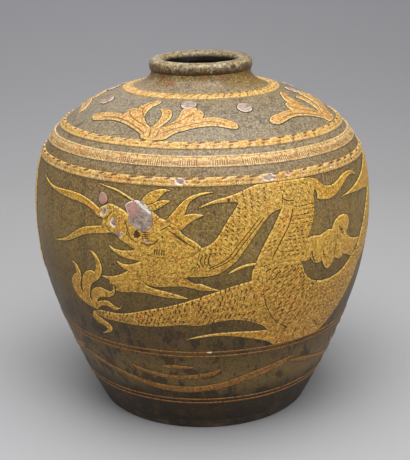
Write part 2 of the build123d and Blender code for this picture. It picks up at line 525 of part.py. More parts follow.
SHORT_WAVE_SHARES = [
    [(-19.0, 71.0), (-14.0, 64.0), (-7.0, 58.4), (0.0, 56.6), (7.0, 60.0), (13.0, 66.4), (16.4, 73.0)],
    [(16.4, 73.0), (14.0, 59.4), (8.0, 52.0), (1.0, 48.4), (-6.0, 49.4), (-12.0, 54.6), (-16.6, 61.4)],
]
WAVE_DASH_SHARES = [
    [(-6.4, 77.0), (-2.4, 80.0), (2.6, 80.0), (6.2, 77.0)],
    [(6.2, 77.0), (2.0, 73.2), (-3.0, 73.2)],
]
WAVES = {"long_waves": WAVE_SHARES, "short_waves": SHORT_WAVE_SHARES, "wave_dashes": WAVE_DASH_SHARES}
WAVE_FRONT_DEGREES = -10.0
REPEATS = 4
DRAGON_REPEATS = 2


def place_on_wall(degrees, percent, field):
    """The point on the wall for one point of an outline, and the wall's normal there."""
    share = field[0] + (field[1] - field[0]) * percent / PERCENT
    spot, normal = WALL_LINE.position_at(share), outward(share)
    round_x, round_y = sin(radians(degrees)), -cos(radians(degrees))
    return (
        Vector(spot.X * round_x, spot.X * round_y, spot.Z),
        Vector(normal.X * round_x, normal.X * round_y, normal.Z),
    )


def extent(strokes):
    """The lowest and highest degrees and per cents of an outline."""
    points = [point for stroke in strokes for point in stroke]
    turns, ups = [turn for turn, _ in points], [up for _, up in points]
    return min(turns), max(turns), min(ups), max(ups)


def facing_plane(strokes, field):
    """The plane that touches the wall behind the middle of an outline."""
    left, right, low, high = extent(strokes)
    middle = (left + right) / 2
    origin, normal = place_on_wall(middle, (low + high) / 2, field)
    return Plane(origin=origin, x_dir=(cos(radians(middle)), sin(radians(middle)), 0), z_dir=normal)


def cutter(strokes, field):
    """A prism with the figure's outline, square to the wall behind its middle."""
    plane = facing_plane(strokes, field)
    edges = []
    for index, stroke in enumerate(strokes):
        next_start = strokes[(index + 1) % len(strokes)][0]
        points = stroke if stroke[-1] == next_start else stroke + [next_start]
        flat = []
        for degrees, percent in points:
            local = plane.to_local_coords(place_on_wall(degrees, percent, field)[0])
            flat.append(Vector(local.X, local.Y, 0))
        edges.append(Edge.make_line(*flat) if len(flat) == 2 else Edge.make_spline(flat))
    return extrude(plane * make_face(edges), BELLY_RADIUS, both=True)


def slip_layer(strokes, field, rise):
    """The layer of slip on the part of the wall that the figure lies on."""
    left, right, low, high = extent(strokes)
    reach = field[1] - field[0]
    margin = OVERRUN / WALL_LENGTH
    start = field[0] + reach * low / PERCENT - margin
    end = field[0] + reach * high / PERCENT + margin
    section = band_section(LUTE_LINE, lifted_line(LUTE + rise), start, end)
    spare = FULL_TURN * margin
    return Rot(0, 0, left - spare - FRONT_TURN) * turned(section, right - left + 2 * spare)


def figure(strokes, field, rise, covers=()):
    """One figure of slip, cut back where other figures lie over it."""
    solid = slip_layer(strokes, field, rise) & cutter(strokes, field)
    for cover in covers:
        solid = solid - cutter(cover, field)
    return solid.solids().sort_by(SortBy.VOLUME)[-1]


def round_the_jar(solid, count, first=0.0):
    """Copies of a solid, evenly round the axis."""
    return [Rot(0, 0, first + FULL_TURN / count * index) * solid for index in range(count)]


def tail_flames():
    """The five flames of the tail's tuft, each cut back under those before it."""
    flames = []
    for index, strokes in enumerate(TAIL_FLAME_SHARES):
        flames.append(figure(strokes, FIELD, RELIEF, TAIL_FLAME_SHARES[:index]))
    return flames


def lug_stubs():
    """The two scars of one broken lug: low discs of body clay with a worn edge."""
    core = turned(band_section(INNER_LINE, LUTE_LINE, *SHOULDER_FIELD))
    post = Cylinder(STUB_RADIUS, 2 * STUB_RISE)
    post = chamfer(post.edges().group_by(Axis.Z)[-1], STUB_EDGE)
    stubs = []
    for side, percent in LUG_FOOT_SHARES:
        turn = side * STUB_SPACING / 2
        spot, normal = place_on_wall(turn, percent, SHOULDER_FIELD)
        seat = Plane(origin=spot, x_dir=(cos(radians(turn)), sin(radians(turn)), 0), z_dir=normal)
        stubs.append((seat * post - core).solids().sort_by(SortBy.VOLUME)[-1])
    return stubs


def main():
    """Builds every sub-part and writes its file."""
    save("base_disc", base_disc().solids())
    save("lower_wall", lower_wall().solids())
    save("belly_wall", turned(wall_section(BELLY_SEAM_SHARE, SHOULDER_SEAM_SHARE)).solids())
    save("shoulder_wall", turned(wall_section(SHOULDER_SEAM_SHARE, COLLAR_SEAM_SHARE)).solids())
    save("neck_collar", neck_collar().solids())
    save("rolled_rim", rolled_rim().solids())
    save("neck_cord", cord(NECK_CORD_SHARE, NECK_CORD_WIDTH).solids())
    save("shoulder_cord", cord(SHOULDER_CORD_SHARE, CORD_WIDTH).solids())
    save("fret_band", fret_band().solids())
    save("belly_cord", cord(BELLY_CORD_SHARE, CORD_WIDTH).solids())
    save("field_lines", [ring.solids()[0] for ring in line_pair(FIELD_LINE_SHARE)])
    save("foot_lines", [ring.solids()[0] for ring in line_pair(FOOT_LINE_SHARE)])
    for name, strokes in WAVES.items():
        wave = figure(strokes, WAVE_FIELD, WAVE_RISE)
        save(name, round_the_jar(wave, REPEATS, WAVE_FRONT_DEGREES))
    stubs = lug_stubs()
    spray = figure(SPRAY_SHARES, SHOULDER_FIELD, RELIEF)
    for stub in stubs:
        for lug_turn in (LUG_FRONT_DEGREES, LUG_FRONT_DEGREES - FULL_TURN / REPEATS):
            spray = spray - Rot(0, 0, lug_turn - SPRAY_FRONT_DEGREES) * stub
    save("shoulder_sprays", round_the_jar(spray, REPEATS, SPRAY_FRONT_DEGREES))
    save("lug_stubs", [copy for stub in stubs for copy in round_the_jar(stub, REPEATS, LUG_FRONT_DEGREES)])
    for name, (strokes, covers) in DRAGON.items():
        save(name, round_the_jar(figure(strokes, FIELD, RELIEF, covers), DRAGON_REPEATS))
    ears = [figure(EAR_SHARES, FIELD, RELIEF, [BROW_STUB_SHARES]),
            figure(SMALL_EAR_SHARES, FIELD, RELIEF, [BROW_STUB_SHARES, HEAD_SHARES, EAR_SHARES])]
    save("dragon_ears", [copy for ear in ears for copy in round_the_jar(ear, DRAGON_REPEATS)])
    feeler = figure(FEELER_SHARES, FIELD, RELIEF, [BROW_STUB_SHARES])
    save("dragon_feelers", round_the_jar(feeler, DRAGON_REPEATS))
    flames = tail_flames()
    save("dragon_tail_flames", [copy for flame in flames for copy in round_the_jar(flame, DRAGON_REPEATS)])


main()
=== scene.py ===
"""The looks of a stoneware storage jar with slip dragons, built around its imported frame.

The jar's outer wall is measured from the frame. Everything on it is drawn on the
unrolled wall, as a turn in degrees from the front and a way up the wall in
millimetres, and is then laid on the wall with its relief.
"""

import logging
import math
import random
from contextlib import contextmanager
from dataclasses import dataclass, field
from enum import Enum
from typing import Iterable, Iterator, Sequence

import bpy
import numpy as np
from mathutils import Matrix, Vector, geometry, kdtree, noise

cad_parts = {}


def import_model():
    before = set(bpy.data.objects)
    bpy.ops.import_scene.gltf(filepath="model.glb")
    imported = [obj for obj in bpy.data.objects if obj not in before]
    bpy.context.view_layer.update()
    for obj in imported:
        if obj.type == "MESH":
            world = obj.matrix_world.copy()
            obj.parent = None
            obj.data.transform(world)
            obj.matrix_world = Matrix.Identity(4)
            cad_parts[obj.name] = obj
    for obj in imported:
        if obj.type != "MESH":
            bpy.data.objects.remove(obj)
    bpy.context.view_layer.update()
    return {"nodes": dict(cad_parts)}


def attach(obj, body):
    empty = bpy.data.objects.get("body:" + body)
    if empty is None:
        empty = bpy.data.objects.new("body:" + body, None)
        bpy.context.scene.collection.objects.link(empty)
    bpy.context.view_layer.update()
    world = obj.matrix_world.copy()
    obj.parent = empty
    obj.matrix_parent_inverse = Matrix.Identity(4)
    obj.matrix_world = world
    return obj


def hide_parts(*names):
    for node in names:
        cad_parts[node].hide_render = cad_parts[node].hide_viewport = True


LOG = logging.getLogger("jar")

MM = 0.001
BODY = "root"
FULL_TURN = 360.0
HALF_TURN = 180.0
FIRST_COPY_SHIFT = 15.0
BLOCK_ROWS = 1500
FAR = 1e9
TINY = 1e-12
MERGE_COPY = 2e-6
MERGE_SPUN = 1e-6

Point = tuple[float, float]
Place = tuple[float, float, float]
Colour = tuple[int, int, int]
Piece = bpy.types.Object
Material = bpy.types.Material
Array = np.ndarray


# Small tools for lines and point sets on the unrolled wall.


def blocks(count: int) -> list[slice]:
    """Slices of so few rows that a table of distances stays small."""
    return [slice(first, first + BLOCK_ROWS) for first in range(0, count, BLOCK_ROWS)]


def distance_to(points: Array, starts: Array, ends: Array) -> Array:
    """Distances from points to the nearest of some straight pieces.

    Args:
        points: The points, one a row.
        starts: Where each piece starts.
        ends: Where each piece ends.

    Returns:
        One distance a point.
    """
    found = np.full(len(points), FAR)
    if not len(starts):
        return found
    way = ends - starts
    squared = np.maximum((way**2).sum(1), TINY)
    for part in blocks(len(points)):
        reach = points[part, None, :] - starts[None]
        share = np.clip((reach * way).sum(2) / squared, 0, 1)
        gap = reach - share[..., None] * way
        found[part] = np.sqrt((gap**2).sum(2).min(1))
    return found


def inside(points: Array, loop: Array) -> Array:
    """Says of each point whether a closed loop goes round it."""
    ahead = np.roll(loop, -1, 0)
    run, rise = (ahead - loop).T
    rise = np.where(rise == 0, TINY, rise)
    found = np.zeros(len(points), bool)
    for part in blocks(len(points)):
        x, y = points[part, :1], points[part, 1:]
        crosses = (loop[:, 1] > y) != (ahead[:, 1] > y)
        hit = x < run * (y - loop[:, 1]) / rise + loop[:, 0]
        found[part] = (crosses & hit).sum(1) % 2 == 1
    return found


def flowing(points: Iterable[Point], step: float) -> Array:
    """A smooth line through points.

    Args:
        points: What it passes through, in millimetres.
        step: The distance between its samples.

    Returns:
        The samples, one a row.
    """
    known = np.array(list(points), float)
    if len(known) == 2:
        count = max(2, int(np.linalg.norm(known[1] - known[0]) / step) + 1)
        return known[0] + np.linspace(0, 1, count)[:, None] * (known[1] - known[0])
    padded = np.vstack([2 * known[0] - known[1], known, 2 * known[-1] - known[-2]])
    made = []
    for index in range(len(known) - 1):
        a, b, c, d = padded[index : index + 4]
        count = max(1, int(np.linalg.norm(c - b) / step))
        t = np.arange(count)[:, None] / count
        square, cube = 2 * a - 5 * b + 4 * c - d, 3 * b - a - 3 * c + d
        made.append(0.5 * (2 * b + (c - a) * t + square * t**2 + cube * t**3))
    return np.vstack(made + [known[-1:]])


def run_of(line: Array) -> Array:
    """The way along a line to each of its points."""
    return np.concatenate([[0], np.cumsum(np.hypot(*np.diff(line, axis=0).T))])


def outward(loop: Array) -> Array:
    """The outward normals of a counter-clockwise closed loop, one a point."""
    way = np.roll(loop, -1, 0) - np.roll(loop, 1, 0)
    way /= np.maximum(np.hypot(*way.T), TINY)[:, None]
    return np.column_stack([way[:, 1], -way[:, 0]])


def thinned(points: Array, gap: float) -> Array:
    """One point for each cell of a grid of this gap."""
    return points[np.unique(np.round(points / gap), axis=0, return_index=True)[1]]


def smooth_step(value: Array, low: float, high: float) -> Array:
    """Rises smoothly from 0 at low to 1 at high."""
    share = np.clip((value - low) / (high - low), 0, 1)
    return share * share * (3 - 2 * share)


def bell(value: Array, middle: float, reach: float) -> Array:
    """Falls smoothly from 1 at the middle to a third a reach away and on to 0."""
    return np.exp(-(((value - middle) / reach) ** 2))


def tree_of(known: Array) -> kdtree.KDTree:
    """A tree that finds the nearest of some known points."""
    tree = kdtree.KDTree(len(known))
    for index, (x, y) in enumerate(known):
        tree.insert((x, y, 0), index)
    tree.balance()
    return tree


def nearest(known: Array, points: Array) -> Array:
    """The distance from each point to the nearest of the known ones."""
    if not len(known):
        return np.full(len(points), FAR)
    tree = tree_of(known)
    return np.array([tree.find((x, y, 0))[2] for x, y in points])


# The wall.


@dataclass
class JarWall:
    """The outer wall, measured from the frame: its section, and how to lay things on it.

    Near the foot and the neck, over the ways true_low and true_high, the uneven wall runs
    into the true form.
    """

    nodes: dict[str, Piece]
    belly_turn: float = 38.0
    out_of_round: float = 0.5
    ridge_pitch: float = 8.5
    ridge_depth: float = 0.07
    true_low: Point = (10.0, 60.0)
    true_high: Point = (390.0, 440.0)
    rim_drop: float = 1.5
    rim_drop_foot: float = 392.0
    rim_drop_top: float = 404.0
    rim_width: float = 124.0
    foot_clear: float = 1.4
    neck_radius: float = 58.8
    heart_height: float = 180.0
    facing_out: float = 0.5
    near_angle: float = 2.0
    inner_gap: float = 5.0
    ring_gap: float = 1.6
    step: float = 0.5

    def __post_init__(self) -> None:
        """Measures the section from the nodes of the wall."""
        names = ("base_disc", "lower_wall", "belly_wall", "shoulder_wall", "neck_collar")
        rings = self._envelope(np.vstack([self._outer_rings(name) for name in names]))
        kept = [rings[0]]
        for ring in rings[1:]:
            if np.hypot(*(ring - kept[-1])) > self.ring_gap:
                kept.append(ring)
        section = np.array(kept)
        first = section[1] - section[0]
        foot = section[0] - first * section[0, 1] / first[1]
        section = np.vstack([foot, section])
        way = run_of(section)
        self.along = np.arange(0, way[-1], self.step)
        line = np.column_stack([self._spline(way, section[:, axis], self.along) for axis in (0, 1)])
        self.radius, self.height = line.T
        slope = np.gradient(line, self.along, axis=0)
        slope /= np.hypot(*slope.T)[:, None]
        self.out_r, self.out_z = slope[:, 1], -slope[:, 0]
        self.top = float(self.along[-1])

    def _outer_rings(self, name: str) -> Array:
        """The radius and height of each ring of vertices on a node's outer face."""
        mesh = self.nodes[name].data
        spots = np.zeros(len(mesh.vertices) * 3)
        mesh.vertices.foreach_get("co", spots)
        spots = spots.reshape(-1, 3) / MM
        corners = np.array([tuple(face.vertices) for face in mesh.polygons])
        a, b, c = (spots[corners[:, k]] for k in range(3))
        normal = np.cross(b - a, c - a)
        middle = (a + b + c) / 3 - (0, 0, self.heart_height)
        lengths = np.linalg.norm(normal, axis=1) * np.linalg.norm(middle, axis=1)
        facing = (normal * middle).sum(1) / (lengths + TINY)
        used = spots[np.unique(corners[facing > self.facing_out])]
        flat = np.column_stack([np.hypot(used[:, 0], used[:, 1]), used[:, 2]])
        return flat[(flat[:, 1] > self.foot_clear) & (flat[:, 0] > self.neck_radius)]

    def _envelope(self, rings: Array) -> Array:
        """The rings of the outer face from the foot up, without the inner corners of a seam."""
        angle = np.degrees(np.arctan2(rings[:, 1] - self.heart_height, rings[:, 0]))
        reach = np.hypot(rings[:, 0], rings[:, 1] - self.heart_height)
        near = np.abs(angle[:, None] - angle[None]) < self.near_angle
        outer = np.where(near, reach[None], 0).max(1) - reach < self.inner_gap
        return rings[outer][np.argsort(angle[outer])]

    @staticmethod
    def _spline(known: Array, values: Array, wanted: Array) -> Array:
        """A natural cubic spline through values."""
        gap = np.diff(known)
        slope = np.diff(values) / gap
        count = len(known)
        matrix, right = np.eye(count), np.zeros(count)
        for i in range(1, count - 1):
            matrix[i, i - 1 : i + 2] = gap[i - 1], 2 * (gap[i - 1] + gap[i]), gap[i]
            right[i] = 6 * (slope[i] - slope[i - 1])
        bend = np.linalg.solve(matrix, right)
        i = np.clip(np.searchsorted(known, wanted, side="right") - 1, 0, count - 2)
        before, after = wanted - known[i], known[i + 1] - wanted
        return (
            bend[i] * after**3 / (6 * gap[i])
            + bend[i + 1] * before**3 / (6 * gap[i])
            + (values[i] / gap[i] - bend[i] * gap[i] / 6) * after
            + (values[i + 1] / gap[i] - bend[i + 1] * gap[i] / 6) * before
        )

    def handmade(self, turn: Array, along: Array) -> Array:
        """How far the thrown wall stands back from the true form, in millimetres."""
        round_way = np.radians(turn)
        body = smooth_step(along, *self.true_low) * (1 - smooth_step(along, *self.true_high))
        oval = 0.5 + 0.5 * np.cos(2 * round_way - math.radians(self.belly_turn))
        lobes = 0.5 + 0.5 * np.cos(3 * round_way + 0.02 * along + 0.7)
        drift = along + 1.6 * np.sin(round_way + 0.4)
        ridges = 0.5 + 0.5 * np.cos(2 * math.pi * drift / self.ridge_pitch)
        return -body * (self.out_of_round * (0.7 * oval + 0.3 * lobes) + self.ridge_depth * ridges)

    def across(self, along: Array, lift: "Array | float") -> tuple[Array, Array]:
        """The radius and height of points of the true form, in millimetres.

        Args:
            along: Millimetres up the wall from the foot.
            lift: Millimetres out from the wall.

        Returns:
            The radii and the heights.
        """
        radius, height, out_r, out_z = (
            np.interp(along, self.along, values)
            for values in (self.radius, self.height, self.out_r, self.out_z)
        )
        return radius + out_r * lift, height + out_z * lift

    def place(self, turn: Array, along: Array, lift: Array) -> Array:
        """Points on or over the wall.

        Args:
            turn: Degrees from the front, growing towards +X.
            along: Millimetres up the wall from the foot.
            lift: Millimetres out from the wall.

        Returns:
            The points in metres, one a row.
        """
        reach, level = self.across(along, lift + self.handmade(turn, along))
        round_way = np.radians(turn)
        x, y = reach * np.sin(round_way), -reach * np.cos(round_way)
        return np.column_stack([x, y, level - self.rim_sag(x, level)]) * MM

    def rim_sag(self, x: Array, level: Array) -> Array:
        """How far the neck and rim sink towards -X, because the rim isn't quite level."""
        high = smooth_step(level, self.rim_drop_foot, self.rim_drop_top)
        return self.rim_drop * high * (0.5 - x / self.rim_width)

    def locate(self, spots: Array) -> tuple[Array, Array, Array]:
        """The turn, the way along and the lift of points of the true form.

        Args:
            spots: Points in millimetres, one a row.

        Returns:
            Degrees, millimetres along and millimetres of lift.
        """
        turn = np.degrees(np.arctan2(spots[:, 0], -spots[:, 1]))
        reach, level = np.hypot(spots[:, 0], spots[:, 1]), spots[:, 2]
        along, lift = np.zeros(len(spots)), np.zeros(len(spots))
        for part in blocks(len(spots)):
            gap_r, gap_z = reach[part, None] - self.radius, level[part, None] - self.height
            best = np.argmin(gap_r**2 + gap_z**2, axis=1)
            rows = np.arange(len(best))
            gap_r, gap_z = gap_r[rows, best], gap_z[rows, best]
            out_r, out_z = self.out_r[best], self.out_z[best]
            along[part] = self.along[best] + gap_z * out_r - gap_r * out_z
            lift[part] = gap_r * out_r + gap_z * out_z
        return turn, along, lift

    def mm_a_degree(self, along: float) -> float:
        """The length of one degree round the jar at this way up the wall."""
        return float(np.interp(along, self.along, self.radius)) * math.pi / HALF_TURN


@dataclass
class Outlines:
    """Reads the outlines of a node's outward faces, as closed loops on the unrolled wall."""

    wall: JarWall
    top_percentile: float = 98.0
    top_share: float = 0.75
    least_corners: int = 9

    def of(self, node: str) -> list[Array]:
        """The loops of one node.

        Args:
            node: The node's name in the frame.

        Returns:
            Loops of turn and way along, counter-clockwise seen from outside.
        """
        piece = merged_copy(self.wall.nodes[node])
        spots = np.array([vertex.co for vertex in piece.data.vertices]) / MM
        turn, along, lift = self.wall.locate(spots)
        top = lift > self.top_share * np.percentile(lift, self.top_percentile)
        faces = [list(face.vertices) for face in piece.data.polygons]
        bpy.data.meshes.remove(piece.data)
        loops = []
        for patch in self._patches([face for face in faces if all(top[corner] for corner in face)]):
            edges = {pair for face in patch for pair in zip(face, face[1:] + face[:1])}
            ahead = {a: b for a, b in edges if (b, a) not in edges}
            while ahead:
                first, here = next(iter(ahead.items()))
                del ahead[first]
                ring = [first]
                while here != first and here in ahead:
                    ring.append(here)
                    here = ahead.pop(here)
                if here == first and len(ring) >= self.least_corners:
                    turns = np.degrees(np.unwrap(np.radians(turn[ring])))
                    loops.append(np.column_stack([turns, along[ring]]))
        return loops

    @staticmethod
    def _patches(faces: list[list[int]]) -> list[list[list[int]]]:
        """Sorts faces into patches that hang together by their edges."""
        by_edge: dict[tuple[int, int], list[int]] = {}
        for index, face in enumerate(faces):
            for a, b in zip(face, face[1:] + face[:1]):
                by_edge.setdefault((min(a, b), max(a, b)), []).append(index)
        left, patches = set(range(len(faces))), []
        while left:
            waiting, patch = [left.pop()], []
            while waiting:
                face = faces[waiting.pop()]
                patch.append(face)
                for a, b in zip(face, face[1:] + face[:1]):
                    for other in by_edge[(min(a, b), max(a, b))]:
                        if other in left:
                            left.remove(other)
                            waiting.append(other)
            patches.append(patch)
        return patches

    def first_copies(self, node: str, copies: int) -> list[Array]:
        """The loops of the copy nearest the front, where a node holds copies round the jar."""
        half = FULL_TURN / copies / 2
        found = []
        for loop in self.of(node):
            middle = (loop[:, 0].min() + loop[:, 0].max()) / 2
            shift = FULL_TURN * round(middle / FULL_TURN)
            if -half + FIRST_COPY_SHIFT <= middle - shift < half + FIRST_COPY_SHIFT:
                found.append(loop - (shift, 0))
        return found


# Making pieces.


def only(piece: Piece) -> None:
    """Selects one object alone and makes it active."""
    bpy.ops.object.select_all(action="DESELECT")
    piece.select_set(True)
    bpy.context.view_layer.objects.active = piece


@contextmanager
def editing(piece: Piece) -> Iterator[None]:
    """Opens a piece for editing with all of it selected, and closes it afterwards."""
    only(piece)
    bpy.ops.object.mode_set(mode="EDIT")
    bpy.ops.mesh.select_all(action="SELECT")
    yield
    bpy.ops.object.mode_set(mode="OBJECT")


def linked(name: str, mesh: bpy.types.Mesh) -> Piece:
    """An object with a mesh, linked to the scene."""
    piece = bpy.data.objects.new(name, mesh)
    bpy.context.scene.collection.objects.link(piece)
    return piece


def new_piece(name: str, spots: Array, edges: list, faces: list) -> Piece:
    """An object with a mesh of these vertices, edges and faces."""
    mesh = bpy.data.meshes.new(name)
    mesh.from_pydata([tuple(spot) for spot in spots], edges, faces)
    return linked(name, mesh)


def merged_copy(node: Piece) -> Piece:
    """A copy of a node whose loose triangles are joined."""
    piece = linked(node.name + "_copy", node.data.copy())
    with editing(piece):
        bpy.ops.mesh.remove_doubles(threshold=MERGE_COPY)
    return piece


def vertex_spots(piece: Piece) -> Array:
    """The places of a piece's vertices, one a row."""
    spots = np.zeros(len(piece.data.vertices) * 3)
    piece.data.vertices.foreach_get("co", spots)
    return spots.reshape(-1, 3)


def set_spots(piece: Piece, spots: Array) -> None:
    """Moves a piece's vertices."""
    piece.data.vertices.foreach_set("co", spots.astype(np.float32).ravel())
    piece.data.update()


def write_marks(piece: Piece, marks: dict[str, Array]) -> None:
    """Stores numbers on the vertices, which the finishes read."""
    for name, values in marks.items():
        attribute = piece.data.attributes.new(name, "FLOAT", "POINT")
        attribute.data.foreach_set("value", values.astype(np.float32))


def read_mark(piece: Piece, name: str) -> Array:
    """The numbers stored on the vertices under a name."""
    values = np.zeros(len(piece.data.vertices), np.float32)
    piece.data.attributes[name].data.foreach_get("value", values)
    return values.astype(float)


def joined(pieces: Sequence[Piece], name: str) -> Piece:
    """Joins pieces to the first of them, which gets the name."""
    first = pieces[0]
    only(first)
    for piece in pieces[1:]:
        piece.select_set(True)
    if len(pieces) > 1:
        bpy.ops.object.join()
    first.name = name
    return first


def turned_copies(piece: Piece, count: int) -> Piece:
    """Adds copies of a piece evenly round the jar and joins them to it."""
    copies = []
    for index in range(1, count):
        copy = linked(piece.name + "_copy", piece.data.copy())
        angle = math.radians(FULL_TURN / count * index)
        spots = vertex_spots(copy)
        x = spots[:, 0] * math.cos(angle) - spots[:, 1] * math.sin(angle)
        y = spots[:, 0] * math.sin(angle) + spots[:, 1] * math.cos(angle)
        set_spots(copy, np.column_stack([x, y, spots[:, 2]]))
        copies.append(copy)
    return joined([piece, *copies], piece.name)


def settle(piece: Piece, finish: Material, slot: str, nodes: Sequence[str], sharp: float) -> None:
    """Shades a finished piece, gives it its finish and hands it to the frame.

    Args:
        piece: The piece, at the origin, with its place in its mesh.
        finish: Its material.
        slot: Not used.
        nodes: The nodes that it stands for.
        sharp: The angle in degrees above which an edge stays sharp.
    """
    only(piece)
    bpy.ops.object.shade_smooth_by_angle(angle=math.radians(sharp))
    piece.data.materials.clear()
    piece.data.materials.append(finish)
    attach(piece, BODY)
    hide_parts(*nodes)
    LOG.info("%s: %d faces, stands for %s", piece.name, len(piece.data.polygons), ", ".join(nodes))


# Slip figures.


class Back(Enum):
    """How the back of a slip figure is shaped."""

    DOMED = "a low dome with a rounded edge"
    LEAF = "a raised outline round a sunken core"
    BROKEN = "rough broken clay"


@dataclass(frozen=True)
class Cut:
    """A line cut in the slip: points in degrees and per cent, width and depth in millimetres."""

    path: tuple[Point, ...]
    width: float = 1.2
    depth: float = 0.55
    stain: float = 1.0


@dataclass(frozen=True)
class Scales:
    """Rows of short cuts between two guide lines.

    The guides run the same way, and each row crosses from the first to the second. lean is the
    angle of a cut from the row's own way, in degrees, and curl how far its middle bows.
    untidy says how unevenly the cuts are placed and how much their lengths differ.
    """

    first: tuple[Point, ...]
    second: tuple[Point, ...]
    rows: int
    across: int
    length: float = 3.2
    lean: float = 0.0
    curl: float = 0.5
    width: float = 1.1
    depth: float = 0.5
    stain: float = 0.9
    untidy: float = 0.35


@dataclass(frozen=True)
class Spot:
    """A round mark on a figure or a band: where it is, its half sizes and what it does.

    sink is in millimetres. bare, stain, crust and chalk are shares: of bare clay, of the dark
    of a cut, of a pale ring round the mark, and of pale all over it.
    """

    turn: float
    percent: float
    half_wide: float
    half_high: float
    sink: float = 0.0
    bare: float = 0.0
    stain: float = 0.0
    crust: float = 0.0
    chalk: float = 0.0


@dataclass
class Figure:
    """One figure of slip: the node that it stands for, its mesh's cell and what is cut in it."""

    node: str
    back: Back = Back.DOMED
    cell: float = 1.2
    cuts: tuple[Cut, ...] = ()
    scales: tuple[Scales, ...] = ()
    spots: tuple[Spot, ...] = ()
    rim_crust: float = 1.0


@dataclass
class FieldOfWall:
    """A strip of the wall between two bands, which per cents are counted over."""

    wall: JarWall
    low: float
    high: float
    copies: int
    centre_turn: float = 0.0

    def along(self, percent: float) -> float:
        """Millimetres up the wall for a per cent of the field."""
        return self.low + (self.high - self.low) * percent / 100

    def path(self, points: Iterable[Point], turn: float, wide: float) -> Array:
        """Points in degrees and per cents, on a flat sheet with this middle turn and scale."""
        return np.array([((x + self.centre_turn - turn) * wide, self.along(y)) for x, y in points])


@dataclass(frozen=True, eq=False)
class Stroke:
    """A cut on the flat sheet: its line, half width and depth in millimetres, and its stain."""

    line: Array
    half: float
    depth: float
    stain: float


@dataclass(frozen=True)
class Spacing:
    """The distances between the points that a sheet is meshed from, in millimetres.

    row_share and cell_share are shares of the figure's cell, and spot_rings of a spot's size.
    """

    rim_step: float = 0.9
    least_step: float = 0.22
    stroke_step: float = 0.8
    scale_step: float = 0.9
    fine_step: float = 0.25
    cut_grid: float = 0.28
    cut_to_rim: float = 0.4
    ring_grid: float = 0.4
    ring_gap: float = 0.36
    first_ring: float = 0.5
    core_ring: float = 2.3
    row_share: float = 0.87
    cell_share: float = 0.62
    spot_rings: tuple[float, ...] = (0, 0.3, 0.55, 0.7, 0.85, 1.0, 1.25)


